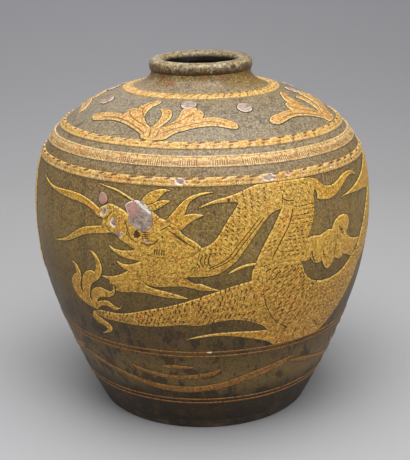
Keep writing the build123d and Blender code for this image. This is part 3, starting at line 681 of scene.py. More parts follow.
@dataclass
class SlipSheet:
    """Meshes one outline as a sheet of slip with its cuts, and lays it on the wall.

    The sheet is flat at first: millimetres across from its middle turn and up the wall.
    """

    wall: JarWall
    zone: FieldOfWall
    loop: Array
    figure: Figure
    neighbours: Array
    seed: int
    top_lift: float = 1.5
    edge_share: float = 0.45
    edge_round: float = 1.3
    seam_reach: float = 0.6
    seam_depth: float = 0.3
    core_depth: float = 0.5
    least_lift: float = 0.08
    most_lift: float = 1.54
    most_edge: float = 12.0
    scales_left_out: float = 0.06
    skirt: tuple[Point, ...] = ((0.45, 0.3), (1.15, 0.05))
    sunk: float = 0.5
    spacing: Spacing = Spacing()

    def __post_init__(self) -> None:
        """Sets the flat sheet's middle and scale, and gathers the cuts on it."""
        self.turn = float((self.loop[:, 0].min() + self.loop[:, 0].max()) / 2)
        self.wide = self.wall.mm_a_degree(float(np.median(self.loop[:, 1])))
        self.draw = random.Random(self.seed)
        self.rim = self._resampled(self._flat(self.loop))
        self.ahead = np.roll(self.rim, -1, 0)
        shared = nearest(self._flat(self.neighbours), self.rim) < self.seam_reach
        self.open = ~(shared & np.roll(shared, -1))
        self.strokes = self._strokes()

    def _flat(self, points: Array) -> Array:
        """Turns degrees into millimetres on the sheet."""
        return (points - (self.turn, 0)) * (self.wide, 1) if len(points) else points

    def _path(self, points: Iterable[Point]) -> Array:
        """Points in degrees and per cents, on the sheet."""
        return self.zone.path(points, self.turn, self.wide)

    def _resampled(self, loop: Array) -> Array:
        """The outline with even steps, its corners kept."""
        step = min(self.spacing.rim_step, self.figure.cell * 0.8)
        least = self.spacing.least_step
        made: list[Array] = []
        for here, there in zip(loop, np.roll(loop, -1, 0)):
            if made and np.linalg.norm(here - made[-1]) < least:
                continue
            count = max(1, round(float(np.linalg.norm(there - here)) / step))
            made.extend(here + (there - here) * k / count for k in range(count))
        if np.linalg.norm(made[-1] - made[0]) < least:
            made.pop()
        return np.array(made)

    def _strokes(self) -> list[Stroke]:
        """Every cut of the figure, on the flat sheet."""
        found = []
        for cut in self.figure.cuts:
            line = flowing(self._path(cut.path), self.spacing.stroke_step)
            found.append(Stroke(line, cut.width / 2, cut.depth, cut.stain))
        for scales in self.figure.scales:
            found.extend(self._scale_strokes(scales))
        return found

    def _scale_strokes(self, scales: Scales) -> list[Stroke]:
        """The short cuts of one patch of scales."""
        guides = []
        for guide in (scales.first, scales.second):
            line = flowing(self._path(guide), self.spacing.stroke_step)
            way = run_of(line)
            share = (np.arange(scales.rows) + 0.5) / scales.rows * way[-1]
            guides.append(np.column_stack([np.interp(share, way, axis) for axis in line.T]))
        lean = math.radians(scales.lean)
        found = []
        for row, (left, right) in enumerate(zip(*guides)):
            across = (right - left) / max(np.linalg.norm(right - left), TINY)
            up = np.array([-across[1], across[0]])
            way = across * math.cos(lean) + up * math.sin(lean)
            bow = np.array([-way[1], way[0]])
            for place in range(scales.across):
                share = (place + 0.5 + (0.25 if row % 2 else -0.25)) / scales.across
                share += self.draw.uniform(-1, 1) * 0.12 * scales.untidy / scales.across
                middle = left + (right - left) * share
                middle = middle + up * self.draw.uniform(-1, 1) * scales.untidy
                size = scales.length * (1 + self.draw.uniform(-1, 1) * scales.untidy * 0.6)
                if not 0.02 < share < 0.98 or self.draw.random() < self.scales_left_out:
                    continue
                arc = [middle - way * size / 2, middle + bow * scales.curl, middle + way * size / 2]
                depth = scales.depth * self.draw.uniform(0.65, 1.1)
                stain = scales.stain * self.draw.uniform(0.45, 1.1)
                half = scales.width / 2 * self.draw.uniform(0.8, 1.2)
                found.append(Stroke(flowing(arc, self.spacing.scale_step), half, depth, stain))
        return found

    def _mark_points(self) -> Array:
        """Points along the cuts and round the spots, so that the mesh follows them."""
        found = [np.zeros((0, 2))]
        for stroke in self.strokes:
            line = stroke.line
            way = np.gradient(line, axis=0)
            way /= np.maximum(np.hypot(*way.T), TINY)[:, None]
            way *= stroke.half
            side = np.column_stack([-way[:, 1], way[:, 0]])
            tips = np.array([line[0] - way[0], line[-1] + way[-1]])
            found += [line, line + side, line - side, tips]
        for spot in self.figure.spots:
            middle = self._path([(spot.turn, spot.percent)])[0]
            for reach in self.spacing.spot_rings:
                steps = max(1, round(reach * (spot.half_wide + spot.half_high) * 4))
                angle = np.arange(steps) * 2 * math.pi / steps
                x, y = np.sin(angle) * spot.half_wide, np.cos(angle) * spot.half_high
                found.append(middle + np.column_stack([x, y]) * reach)
        points = thinned(np.vstack(found), self.spacing.cut_grid)
        points = points[inside(points, self.rim)]
        return points[nearest(self.rim, points) > self.spacing.cut_to_rim]

    def _grid_points(self) -> Array:
        """An even triangular grid inside the outline."""
        cell = self.figure.cell
        low, high = self.rim.min(0), self.rim.max(0)
        grid = []
        for index, y in enumerate(np.arange(low[1], high[1], cell * self.spacing.row_share)):
            xs = np.arange(low[0] + (cell / 2 if index % 2 else 0), high[0], cell)
            grid.append(np.column_stack([xs, np.full(len(xs), y)]))
        points = np.vstack(grid)
        return points[inside(points, self.rim)]

    def _points(self) -> Array:
        """The points that the sheet is meshed from, those of the outline first."""
        made = np.vstack([self.rim, self._mark_points()])
        depths = [self.spacing.first_ring, self.edge_round]
        if self.figure.back is Back.LEAF:
            depths.append(self.spacing.core_ring)
        for depth in depths:
            ring = self.rim - outward(self.rim) * depth
            ring = ring[inside(ring, self.rim)]
            ring = ring[distance_to(ring, self.rim, self.ahead) > depth * 0.93]
            ring = thinned(ring, self.spacing.ring_grid)
            made = np.vstack([made, ring[nearest(made, ring) > self.spacing.ring_gap]])
        points = self._grid_points()
        points = points[nearest(made, points) > self.figure.cell * self.spacing.cell_share]
        return np.vstack([made, points])

    def _press_strokes(self, points: Array, lift: Array, cut: Array) -> None:
        """Presses the cuts into the lift, and stains them."""
        if not self.strokes:
            return
        lines = [flowing(stroke.line, self.spacing.fine_step) for stroke in self.strokes]
        kinds = [kind for kind, line in enumerate(lines) for _ in line]
        tree = tree_of(np.vstack(lines))
        for index, (x, y) in enumerate(points):
            _, found, gap = tree.find((x, y, 0))
            stroke = self.strokes[kinds[found]]
            gap /= stroke.half
            if gap < 1.4:
                lift[index] -= stroke.depth * max(0.0, 1 - gap**2)
                cut[index] = max(cut[index], stroke.stain * max(0.0, 1 - gap / 1.2))

    def _noise(self, points: Array, scale: float, shift: int, detail: int) -> Array:
        """Rough ground, -1 to 1; scale is bumps a millimetre."""
        level = self.seed + shift
        spots = [Vector((x * scale, y * scale, level)) for x, y in points]
        return np.array([noise.fractal(spot, 0.8, 2.1, detail) for spot in spots])

    def _relief(self, points: Array) -> dict[str, Array]:
        """The lift and the marks of points on the sheet's face."""
        free = distance_to(points, self.rim[self.open], self.ahead[self.open])
        seam = distance_to(points, self.rim[~self.open], self.ahead[~self.open])
        rounding = np.sin(np.clip(free / self.edge_round, 0, 1) * math.pi / 2)
        lift = self.top_lift * (self.edge_share + (1 - self.edge_share) * rounding)
        if self.figure.back is Back.LEAF:
            lift -= self.core_depth * smooth_step(free, 1.0, 2.4)
        elif self.figure.back is Back.DOMED:
            lift -= 0.16 * (1 - smooth_step(free, 1.0, 9.0)) * smooth_step(free, 0.8, 1.6)
        lift -= self.seam_depth * (1 - np.clip(seam / 0.45, 0, 1))
        cut = 0.55 * (1 - np.clip(seam / 0.4, 0, 1))
        self._press_strokes(points, lift, cut)
        bare, crust = np.zeros(len(points)), np.zeros(len(points))
        for spot in self.figure.spots:
            middle = self._path([(spot.turn, spot.percent)])[0]
            reach = np.hypot(*((points - middle) / (spot.half_wide, spot.half_high)).T)
            around = np.arctan2(*(points - middle).T)
            reach += 0.1 * np.sin(3 * around + spot.turn) + 0.07 * np.sin(7 * around + spot.percent)
            ragged = np.sin(around + spot.turn) + 0.6 * np.sin(4 * around + spot.percent)
            ragged = smooth_step(ragged, -0.9, 0.5)
            mask = 1 - smooth_step(reach, 0.75, 1.05)
            ring = smooth_step(reach, 0.55, 0.8) * (1 - smooth_step(reach, 0.95, 1.25))
            lift -= spot.sink * mask
            bare = np.maximum(bare, spot.bare * mask)
            cut = np.maximum(cut * (1 - 0.8 * spot.bare * mask), spot.stain * mask)
            crust = np.maximum(crust, spot.crust * ring * (0.2 + 0.8 * ragged))
            crust = np.maximum(crust, spot.chalk * mask)
        if self.figure.back is Back.BROKEN:
            rough = self._noise(points, 0.35, 0, 4)
            pale = self._noise(points, 0.13, 7, 3)
            lift = self.top_lift * (0.55 + 0.25 * rounding) + 0.3 * rough * rounding
            bare = 1 - 0.25 * bare
            rim = (1 - smooth_step(free + 0.5 * rough, 0.5, 1.5)) * smooth_step(pale, -0.5, 0.0)
            crust = np.maximum(crust, rim * self.figure.rim_crust)
        return {
            "rise": np.clip(lift, self.least_lift, self.most_lift),
            "edge": np.minimum(free, self.most_edge),
            "cut": cut,
            "bare": bare,
            "crust": crust,
            "pool": np.zeros(len(points)),
        }

    def build(self, name: str) -> Piece:
        """Makes the piece: its face, a skirt of pooled glaze round it, its thickness and place."""
        points = self._points()
        count = len(self.rim)
        edges = [(k, (k + 1) % count) for k in range(count)]
        spots, _, faces, origins, _, _ = geometry.delaunay_2d_cdt(
            [Vector((x, y)) for x, y in points], edges, [], 1, 1e-5
        )
        spots = np.array([tuple(spot) for spot in spots])
        place_of = {old: new for new, olds in enumerate(origins) for old in olds}
        ring = [place_of[k] for k in range(count) if k in place_of]
        faces = [tuple(face) for face in faces]
        marks = self._relief(spots)
        rim = spots[ring]
        inner = ring
        for reach, lift in self.skirt:
            first = len(spots)
            spots = np.vstack([spots, rim + outward(rim) * reach])
            outer = list(range(first, first + len(ring)))
            for k in range(len(ring)):
                after = (k + 1) % len(ring)
                faces.append((inner[k], outer[k], outer[after], inner[after]))
            added = {"rise": lift, "edge": -reach, "pool": 1.0}
            for key, values in marks.items():
                marks[key] = np.concatenate([values, np.full(len(ring), added.get(key, 0.0))])
            inner = outer
        piece = new_piece(name, np.column_stack([spots, np.zeros(len(spots))]) * MM, [], faces)
        write_marks(piece, marks)
        with editing(piece):
            bpy.ops.mesh.extrude_region_move(TRANSFORM_OT_translate={"value": (0, 0, MM)})
            bpy.ops.mesh.select_all(action="SELECT")
            bpy.ops.mesh.normals_make_consistent(inside=False)
        spots = vertex_spots(piece) / MM
        lift = np.where(spots[:, 2] > 0.5, read_mark(piece, "rise"), -self.sunk)
        set_spots(piece, self.wall.place(self.turn + spots[:, 0] / self.wide, spots[:, 1], lift))
        return piece


@dataclass
class SlipSet:
    """The slip figures of one strip of the wall: their neighbours, copies and finishes."""

    wall: JarWall
    zone: FieldOfWall
    figures: tuple[Figure, ...]
    slot: str
    finish: Material
    top_lift: float = 1.5
    edge_share: float = 0.45
    edge_round: float = 1.3
    sharp: float = 75.0
    finish_of: dict[Back, Material] = field(default_factory=dict)
    slot_of: dict[Back, str] = field(default_factory=dict)

    def build(self) -> list[Piece]:
        """Builds every figure, dresses it and hands it to the frame."""
        outlines = Outlines(self.wall)
        nodes = [figure.node for figure in self.figures]
        loops = {node: outlines.first_copies(node, self.zone.copies) for node in nodes}
        every = [loop for found in loops.values() for loop in found]
        pieces = []
        for order, figure in enumerate(self.figures):
            sheets = []
            for index, loop in enumerate(loops[figure.node]):
                others = self._near(loop, [other for other in every if other is not loop])
                sheet = SlipSheet(self.wall, self.zone, loop, figure, others, 100 * order + index,
                                  self.top_lift, self.edge_share, self.edge_round)
                sheets.append(sheet.build(f"{figure.node}_slip_{index}"))
            piece = turned_copies(joined(sheets, f"{figure.node}_slip"), self.zone.copies)
            finish = self.finish_of.get(figure.back, self.finish)
            slot = self.slot_of.get(figure.back, self.slot)
            settle(piece, finish, slot, [figure.node], self.sharp)
            pieces.append(piece)
        return pieces

    @staticmethod
    def _near(loop: Array, others: list[Array]) -> Array:
        """Fine points of the other outlines near one outline."""
        low, high = loop.min(0) - 1.5, loop.max(0) + 1.5
        found = [np.zeros((0, 2))]
        for other in others:
            if (other.min(0) > high).any() or (other.max(0) < low).any():
                continue
            ahead = np.roll(other, -1, 0)
            found += [other + (ahead - other) * share for share in (0, 0.25, 0.5, 0.75)]
        return np.vstack(found)


# Pieces turned round the jar.


def spun(name: str, section: Array, steps: int) -> Piece:
    """Turns a closed section round the jar's axis.

    Args:
        name: The piece's name.
        section: Radius and height in millimetres, one point a row, in order round the section.
        steps: The number of steps round the jar.

    Returns:
        The closed ring.
    """
    count = len(section)
    spots = np.column_stack([np.zeros(count), -section[:, 0], section[:, 1]]) * MM
    piece = new_piece(name, spots, [(k, (k + 1) % count) for k in range(count)], [])
    with editing(piece):
        bpy.ops.mesh.spin(steps=steps, angle=2 * math.pi, center=(0, 0, 0), axis=(0, 0, 1))
        bpy.ops.mesh.select_all(action="SELECT")
        bpy.ops.mesh.remove_doubles(threshold=MERGE_SPUN)
        bpy.ops.mesh.normals_make_consistent(inside=False)
    return piece


@dataclass
class Wall:
    """One thrown part of the jar's wall, with its throwing ridges."""

    wall: JarWall
    node: str
    low: float
    high: float
    finish: Material
    slot: str
    thick: float = 9.0
    row: float = 4.0
    steps: int = 300
    sharp: float = 60.0

    def build(self) -> Piece:
        """Spins the section and lays it on the measured wall."""
        ways = np.linspace(self.low, self.high, max(3, round((self.high - self.low) / self.row)))
        along = np.concatenate([ways, ways[::-1]])
        lift = np.repeat([0.0, -self.thick], len(ways))
        section = np.column_stack(self.wall.across(along, lift))
        piece = spun(f"{self.node}_thrown", section, self.steps)
        set_spots(piece, self.wall.place(*self.wall.locate(vertex_spots(piece) / MM)))
        settle(piece, self.finish, self.slot, [self.node], self.sharp)
        return piece


@dataclass
class FootSlab:
    """The slab that the wall stands on, hollowed underneath where it was cut from the wheel."""

    wall: JarWall
    finish: Material
    node: str = "base_disc"
    slot: str = "body_clay"
    thick: float = 12.0
    chamfer: float = 1.5
    hollow: float = 0.8
    lip: float = 3.0
    rings: int = 14
    side_rings: int = 6
    steps: int = 240
    sharp: float = 50.0

    def build(self) -> Piece:
        """Spins the slab's section."""
        heights = np.linspace(self.chamfer, self.thick, self.side_rings)
        side = np.column_stack([np.interp(heights, self.wall.height, self.wall.radius), heights])
        foot = side[0, 0] - self.chamfer
        under_r = np.linspace(0, foot, self.rings)
        under_z = self.hollow * (1 - smooth_step(under_r / foot, 0.82, 0.96))
        under_z = under_z * (0.7 + 0.3 * np.cos(under_r * 0.55))
        top_r = np.linspace(side[-1, 0] - self.lip, 0, self.side_rings)
        top = np.column_stack([top_r, np.full(self.side_rings, self.thick)])
        section = np.vstack([np.column_stack([under_r, under_z]), side, top])
        piece = spun(f"{self.node}_cut", section, self.steps)
        settle(piece, self.finish, self.slot, [self.node], self.sharp)
        return piece


@dataclass
class Collar:
    """The short neck, which carries the rolled rim and the bore of the mouth."""

    wall: JarWall
    finish: Material
    low: float
    node: str = "neck_collar"
    slot: str = "olive_glaze"
    bore: float = 43.0
    bore_foot: float = 391.0
    seat_height: float = 404.0
    thick: float = 9.0
    edge: float = 2.0
    row: float = 1.5
    steps: int = 300
    sharp: float = 60.0

    def build(self) -> Piece:
        """Spins the neck's section, the bore included."""
        count = max(4, round((self.wall.top - self.low) / self.row))
        ways = np.linspace(self.low, self.wall.top, count)
        outer = np.column_stack(self.wall.across(ways, 0.0))
        inner = np.column_stack(self.wall.across(ways, -self.thick))
        kept = (inner[:, 0] > self.bore + 1) & (inner[:, 1] < self.bore_foot - self.edge)
        top = np.array([
            (outer[-1, 0] - 3, self.seat_height),
            (self.bore + self.edge, self.seat_height),
            (self.bore, self.seat_height - self.edge),
            (self.bore, self.bore_foot + 1),
        ])
        section = np.vstack([outer, top, inner[kept][::-1]])
        piece = spun(f"{self.node}_thrown", section, self.steps)
        spots = vertex_spots(piece) / MM
        spots[:, 2] -= self.wall.rim_sag(spots[:, 0], spots[:, 2])
        set_spots(piece, spots * MM)
        settle(piece, self.finish, self.slot, [self.node], self.sharp)
        return piece


@dataclass
class RolledRim:
    """The rim, rolled outwards by hand: a fat lip that isn't quite even.

    pressed and raised are how far its top lies below and above the even roll, front and back.
    """

    wall: JarWall
    finish: Material
    node: str = "rolled_rim"
    slot: str = "rim_glaze"
    middle_radius: float = 51.75
    middle_height: float = 408.2
    half_wide: float = 9.4
    half_high: float = 9.5
    bore: float = 43.0
    uneven: float = 0.45
    pressed: float = 2.0
    raised: float = 0.6
    fold_angle: float = 5.3
    fold_reach: float = 0.28
    fold_depth: float = 0.5
    flatness: float = 0.035
    points: int = 40
    steps: int = 360
    sharp: float = 60.0

    def build(self) -> Piece:
        """Spins the lip and makes it uneven."""
        angle = np.linspace(0, 2 * math.pi, self.points, endpoint=False)
        fold = self.fold_depth * bell(angle, self.fold_angle, self.fold_reach)
        flat = 1 - self.flatness * np.cos(4 * angle)
        radius = self.middle_radius + (self.half_wide * flat - fold) * np.cos(angle)
        height = self.middle_height + (self.half_high * flat - fold) * np.sin(angle)
        section = np.column_stack([np.maximum(radius, self.bore), height])
        piece = spun(f"{self.node}_lip", section, self.steps)
        spots = vertex_spots(piece) / MM
        around = np.arctan2(spots[:, 0], -spots[:, 1])
        reach = np.hypot(spots[:, 0], spots[:, 1])
        wave = 0.5 * np.sin(2 * around + 0.6) + 0.3 * np.sin(5 * around + 1.1)
        wave = wave + 0.2 * np.sin(9 * around)
        shrink = 1 - self.uneven / self.half_wide * (0.5 + 0.5 * wave)
        new_reach = self.middle_radius + (reach - self.middle_radius) * shrink
        new_reach = np.maximum(new_reach, self.bore)
        level = self.middle_height + (spots[:, 2] - self.middle_height) * shrink
        x, y = np.sin(around) * new_reach, -np.cos(around) * new_reach
        front = 0.5 + 0.5 * np.cos(around)
        over = np.clip((level - self.middle_height) / self.half_high, 0, 1)
        level += over * (self.raised * (1 - front) - self.pressed * front)
        level -= self.wall.rim_sag(x, level)
        set_spots(piece, np.column_stack([x, y, level]) * MM)
        settle(piece, self.finish, self.slot, [self.node], self.sharp)
        return piece


@dataclass
class Trim:
    """A band of slip round the jar. Its relief is a function of the turn and the way up it.

    Its chips and flecks are on the topmost ring only, where it has more than one.
    """

    wall: JarWall
    node: str
    middle: float
    width: float
    rise: float
    finish: Material
    slot: str
    steps: int = 720
    rows: int = 16
    chips: tuple[Spot, ...] = ()
    sunk: float = 1.0
    least_rise: float = 0.05
    most_edge: float = 12.0
    sharp: float = 75.0

    def relief(self, turn: Array, share: Array) -> tuple[Array, Array]:
        """The lift as a share of the rise and how dark the cuts are, at a share of the way up."""
        return np.sin(np.clip(share, 0, 1) * math.pi) ** 0.6, np.zeros(len(turn))

    def wobble(self, turn: Array) -> Array:
        """How far the band wanders up and down, in millimetres."""
        angle = np.radians(turn)
        return 0.25 * np.sin(3 * angle + self.middle) + 0.12 * np.sin(11 * angle + 2 * self.middle)

    def parts(self) -> list[Point]:
        """The low and high edge of each ring that the band is made of."""
        return [(self.middle - self.width / 2, self.middle + self.width / 2)]

    def build(self) -> Piece:
        """Spins each ring of the band, gives it its relief and joins them."""
        rings = [self._ring(index, low, high) for index, (low, high) in enumerate(self.parts())]
        piece = joined(rings, f"{self.node}_band")
        settle(piece, self.finish, self.slot, [self.node], self.sharp)
        return piece

    def _ring(self, index: int, low: float, high: float) -> Piece:
        """One ring of the band."""
        ways = low + (high - low) * (1 - np.cos(np.linspace(0, math.pi, self.rows))) / 2
        lift = np.repeat([1.0, -1.0], [self.rows, 2])
        section = np.column_stack(self.wall.across(np.append(ways, ways[[-1, 0]]), lift))
        ring = spun(f"{self.node}_ring_{index}", section, self.steps)
        turn, along, lift = self.wall.locate(vertex_spots(ring) / MM)
        top = lift > 0
        share = (along - low) / (high - low)
        shape, cut = self.relief(turn, share)
        rise = self.rise * shape
        bare, crust = np.zeros(len(turn)), np.zeros(len(turn))
        topmost = index == len(self.parts()) - 1
        for chip in self.chips if topmost else ():
            gap = (turn - chip.turn + HALF_TURN) % FULL_TURN - HALF_TURN
            gap = gap * self.wall.mm_a_degree(self.middle)
            across = low + (high - low) * chip.percent / 100
            reach = np.hypot(gap / chip.half_wide, (along - across) / chip.half_high)
            reach += 0.1 * np.sin(gap * 0.9 + along) + 0.08 * np.sin(along * 1.3 + gap * 0.4)
            ragged = smooth_step(np.sin(gap * 0.7 + along * 0.9 + chip.turn), -0.6, 0.5)
            mask = 1 - smooth_step(reach, 0.8, 1.05)
            halo = smooth_step(reach, 0.5, 0.8) * (1 - smooth_step(reach, 1, 1.2))
            rise = rise - chip.sink * mask
            bare = np.maximum(bare, chip.bare * mask)
            cut = np.maximum(cut * (1 - mask), chip.stain * mask)
            crust = np.maximum(crust, chip.crust * halo * (0.15 + 0.85 * ragged))
            crust = np.maximum(crust, chip.chalk * mask)
        edge = np.minimum(share, 1 - share) * (high - low)
        rise = np.clip(rise, self.least_rise, self.rise * 1.02)
        new_lift = np.where(top, rise, -self.sunk)
        set_spots(ring, self.wall.place(turn, along + self.wobble(turn), new_lift))
        write_marks(ring, {
            "edge": np.clip(edge, 0, self.most_edge),
            "cut": np.clip(cut, 0, 1),
            "bare": bare,
            "crust": crust,
            "pool": np.where(top, 0.0, 1.0),
        })
        return ring


@dataclass
class Rope(Trim):
    """A cord pressed into running strands, over a plain border."""

    strands: int = 62
    border: float = 0.34
    rising: float = 0.5
    lens_half: float = 0.25
    lens_share: float = 0.78

    def relief(self, turn: Array, share: Array) -> tuple[Array, Array]:
        """A plain border below; above it the humps of a loose twist, a hollow between each two."""
        draw = np.random.default_rng(round(self.middle * 10))
        sizes = draw.uniform(0.5, 1.4, self.strands)
        shifts = draw.uniform(-0.17, 0.17, self.strands)
        share = np.clip(share, 0, 1)
        over = np.clip((share - self.border) / (1 - self.border), 0, 1)
        place = turn / FULL_TURN * self.strands - self.rising * (over - 0.5)
        place = place + 0.1 * np.sin(np.radians(turn) * 7)
        near = np.round(place).astype(int) % self.strands
        gap = place - np.round(place) - shifts[near]
        size = sizes[near]
        hump = np.clip(np.abs(gap) / 0.42, 0, 1) ** 0.6
        bead = np.sin(np.clip(share / self.border, 0, 1) * math.pi) ** 0.7
        body = np.sin(over * math.pi) ** 0.5
        strand = 0.42 + 0.58 * body * (0.35 + 0.65 * hump)
        lift = np.where(share < self.border, 0.45 + 0.3 * bead, strand)
        lift = lift * np.clip(0.4 + np.minimum(share, 1 - share) / 0.06, 0, 1)
        lens = np.hypot(gap / (self.lens_half * size), (over - self.lens_share) / 0.25)
        hollow = 1 - smooth_step(lens, 0.6, 1.05)
        pit = bell(gap, 0.13, 0.055) * bell(over, 0.14, 0.13) * size
        seam = bell(gap, 0, 0.03) * (1 - smooth_step(over, 0.45, 0.75)) * 0.5
        step = bell(share, self.border, 0.03) * (0.35 + 0.65 * (1 - hump))
        dark = np.clip(0.8 * hollow + 1.2 * pit + 0.6 * seam + 0.3 * step, 0, 1)
        return lift - 0.36 * hollow - 0.25 * np.clip(pit, 0, 1) - 0.1 * seam - 0.07 * step, dark


@dataclass
class Fret(Trim):
    """A flat ribbon pressed with a running key pattern between two borders."""

    periods: int = 33
    start: float = 0.22
    upright_share: float = 0.56
    uprights: float = 8.0
    levels: float = 3.5
    hatch_low: float = 0.08
    hatch_high: float = 0.56
    hatch_fade: float = 0.03
    flat: float = 0.5

    def relief(self, turn: Array, share: Array) -> tuple[Array, Array]:
        """Groups of upright cuts between groups of three level ones, under a plain ribbon."""
        share = np.clip(share, 0, 1)
        phase = (turn / FULL_TURN * self.periods + self.start) % 1.0
        phase = (phase - 0.5) % 1.0
        low, high, fade = self.hatch_low, self.hatch_high, self.hatch_fade
        band = smooth_step(share, low - fade, low + fade)
        band = band * (1 - smooth_step(share, high - fade, high + fade))
        upright = phase < self.upright_share
        across = (phase / self.upright_share * self.uprights) % 1.0
        level = ((share - low) / (high - low) * self.levels) % 1.0
        stroke = np.where(upright, np.abs(across - 0.5) * 2, np.abs(level - 0.5) * 2)
        groove = band * smooth_step(stroke, 0.3, 0.95)
        bead = bell(share, 0.9, 0.07) + 0.6 * bell(share, 0.04, 0.045)
        lift = self.flat + 0.36 * np.clip(bead, 0, 1) + 0.1 * band
        ends = np.minimum(share, 1 - share)
        lift = lift * np.clip(0.35 + ends / 0.05, 0, 1)
        line = bell(share, 0.61, 0.02) + 0.7 * bell(share, 0.81, 0.02)
        return lift - 0.3 * groove - 0.12 * line, np.clip(0.75 * groove + 0.4 * line, 0, 1)


@dataclass
class Lines(Trim):
    """Two or more thin lines of slip, trailed side by side."""

    pitch: float = 6.0
    line_width: float = 2.2
    count: int = 2

    def parts(self) -> list[Point]:
        """The lines, evenly spaced about the middle."""
        first = self.middle - self.pitch * (self.count - 1) / 2
        half = self.line_width / 2
        middles = [first + k * self.pitch for k in range(self.count)]
        return [(middle - half, middle + half) for middle in middles]

    def relief(self, turn: Array, share: Array) -> tuple[Array, Array]:
        """A round line that swells and thins as it was trailed."""
        angle = np.radians(turn)
        swell = 0.85 + 0.1 * np.sin(17 * angle + self.middle) + 0.05 * np.sin(41 * angle)
        dip = bell(share, 0.5, 0.16)
        return np.sin(np.clip(share, 0, 1) * math.pi) ** 0.6 * swell - 0.28 * dip, 0.7 * dip


# Finishes.


def tone(red: int, green: int, blue: int) -> tuple[float, float, float, float]:
    """A screen colour as the linear colour that a shader takes."""
    parts = [channel / 255 for channel in (red, green, blue)]
    return (*(c / 12.92 if c <= 0.04045 else ((c + 0.055) / 1.055) ** 2.4 for c in parts), 1.0)


@dataclass(frozen=True, eq=False)
class Signal:
    """A socket of a finish's node tree, which can be reckoned with like a number."""

    tree: bpy.types.NodeTree
    socket: bpy.types.NodeSocket | None = None

    def plug(self, sockets: "bpy.types.bpy_prop_collection", inputs: dict) -> None:
        """Gives each of some sockets a value or a signal."""
        for name, value in inputs.items():
            if isinstance(value, Signal):
                self.tree.links.new(value.socket, sockets[name])
            else:
                sockets[name].default_value = value

    def node(
        self,
        kind: str,
        settings: dict | None = None,
        inputs: dict | None = None,
        out: int | str = 0,
    ) -> "Signal":
        """Adds a node.

        Args:
            kind: The node's type.
            settings: Its settings, set first.
            inputs: Its sockets, each given a value or a signal.
            out: The output that is wanted.

        Returns:
            The signal of that output.
        """
        made = self.tree.nodes.new(kind)
        for name, value in (settings or {}).items():
            setattr(made, name, value)
        self.plug(made.inputs, inputs or {})
        return Signal(self.tree, made.outputs[out])

    def _math(self, operation: str, first: "Signal | float", second: "Signal | float") -> "Signal":
        """One step of arithmetic."""
        return self.node("ShaderNodeMath", {"operation": operation}, {0: first, 1: second})

    def __add__(self, other: "Signal | float") -> "Signal":
        """Sum."""
        return self._math("ADD", self, other)

    def __radd__(self, other: float) -> "Signal":
        """Sum, the number first."""
        return self._math("ADD", other, self)

    def __sub__(self, other: "Signal | float") -> "Signal":
        """Difference."""
        return self._math("SUBTRACT", self, other)

    def __rsub__(self, other: float) -> "Signal":
        """Difference, the number first."""
        return self._math("SUBTRACT", other, self)

    def __mul__(self, other: "Signal | float") -> "Signal":
        """Product."""
        return self._math("MULTIPLY", self, other)

    def __rmul__(self, other: float) -> "Signal":
        """Product, the number first."""
        return self._math("MULTIPLY", other, self)

    def between(self, low: float, high: float) -> "Signal":
        """Rises smoothly from 0 at low to 1 at high."""
        inputs = {"Value": self, "From Min": low, "From Max": high}
        return self.node("ShaderNodeMapRange", {"interpolation_type": "SMOOTHSTEP"}, inputs)

    def mix(self, none: "Signal | Colour", full: "Signal | Colour") -> "Signal":
        """A colour between two, by this signal."""
        settings = {"data_type": "RGBA", "blend_type": "MIX", "clamp_factor": True}
        ends = [end if isinstance(end, Signal) else tone(*end) for end in (none, full)]
        return self.node("ShaderNodeMix", settings, {0: self, 6: ends[0], 7: ends[1]}, 2)

    def over(self, under: "Signal", share: float, colour: Colour) -> "Signal":
        """A colour laid over another, as strongly as this signal times the share."""
        return (self * share).mix(under, colour)

    def ramp(self, stops: "Sequence[tuple[float, Colour]]") -> "Signal":
        """A colour that runs through stops as this signal grows."""
        colour: Signal | Colour = stops[0][1]
        for (low, _), (high, following) in zip(stops, stops[1:]):
            colour = self.between(low, high).mix(colour, following)
        return colour


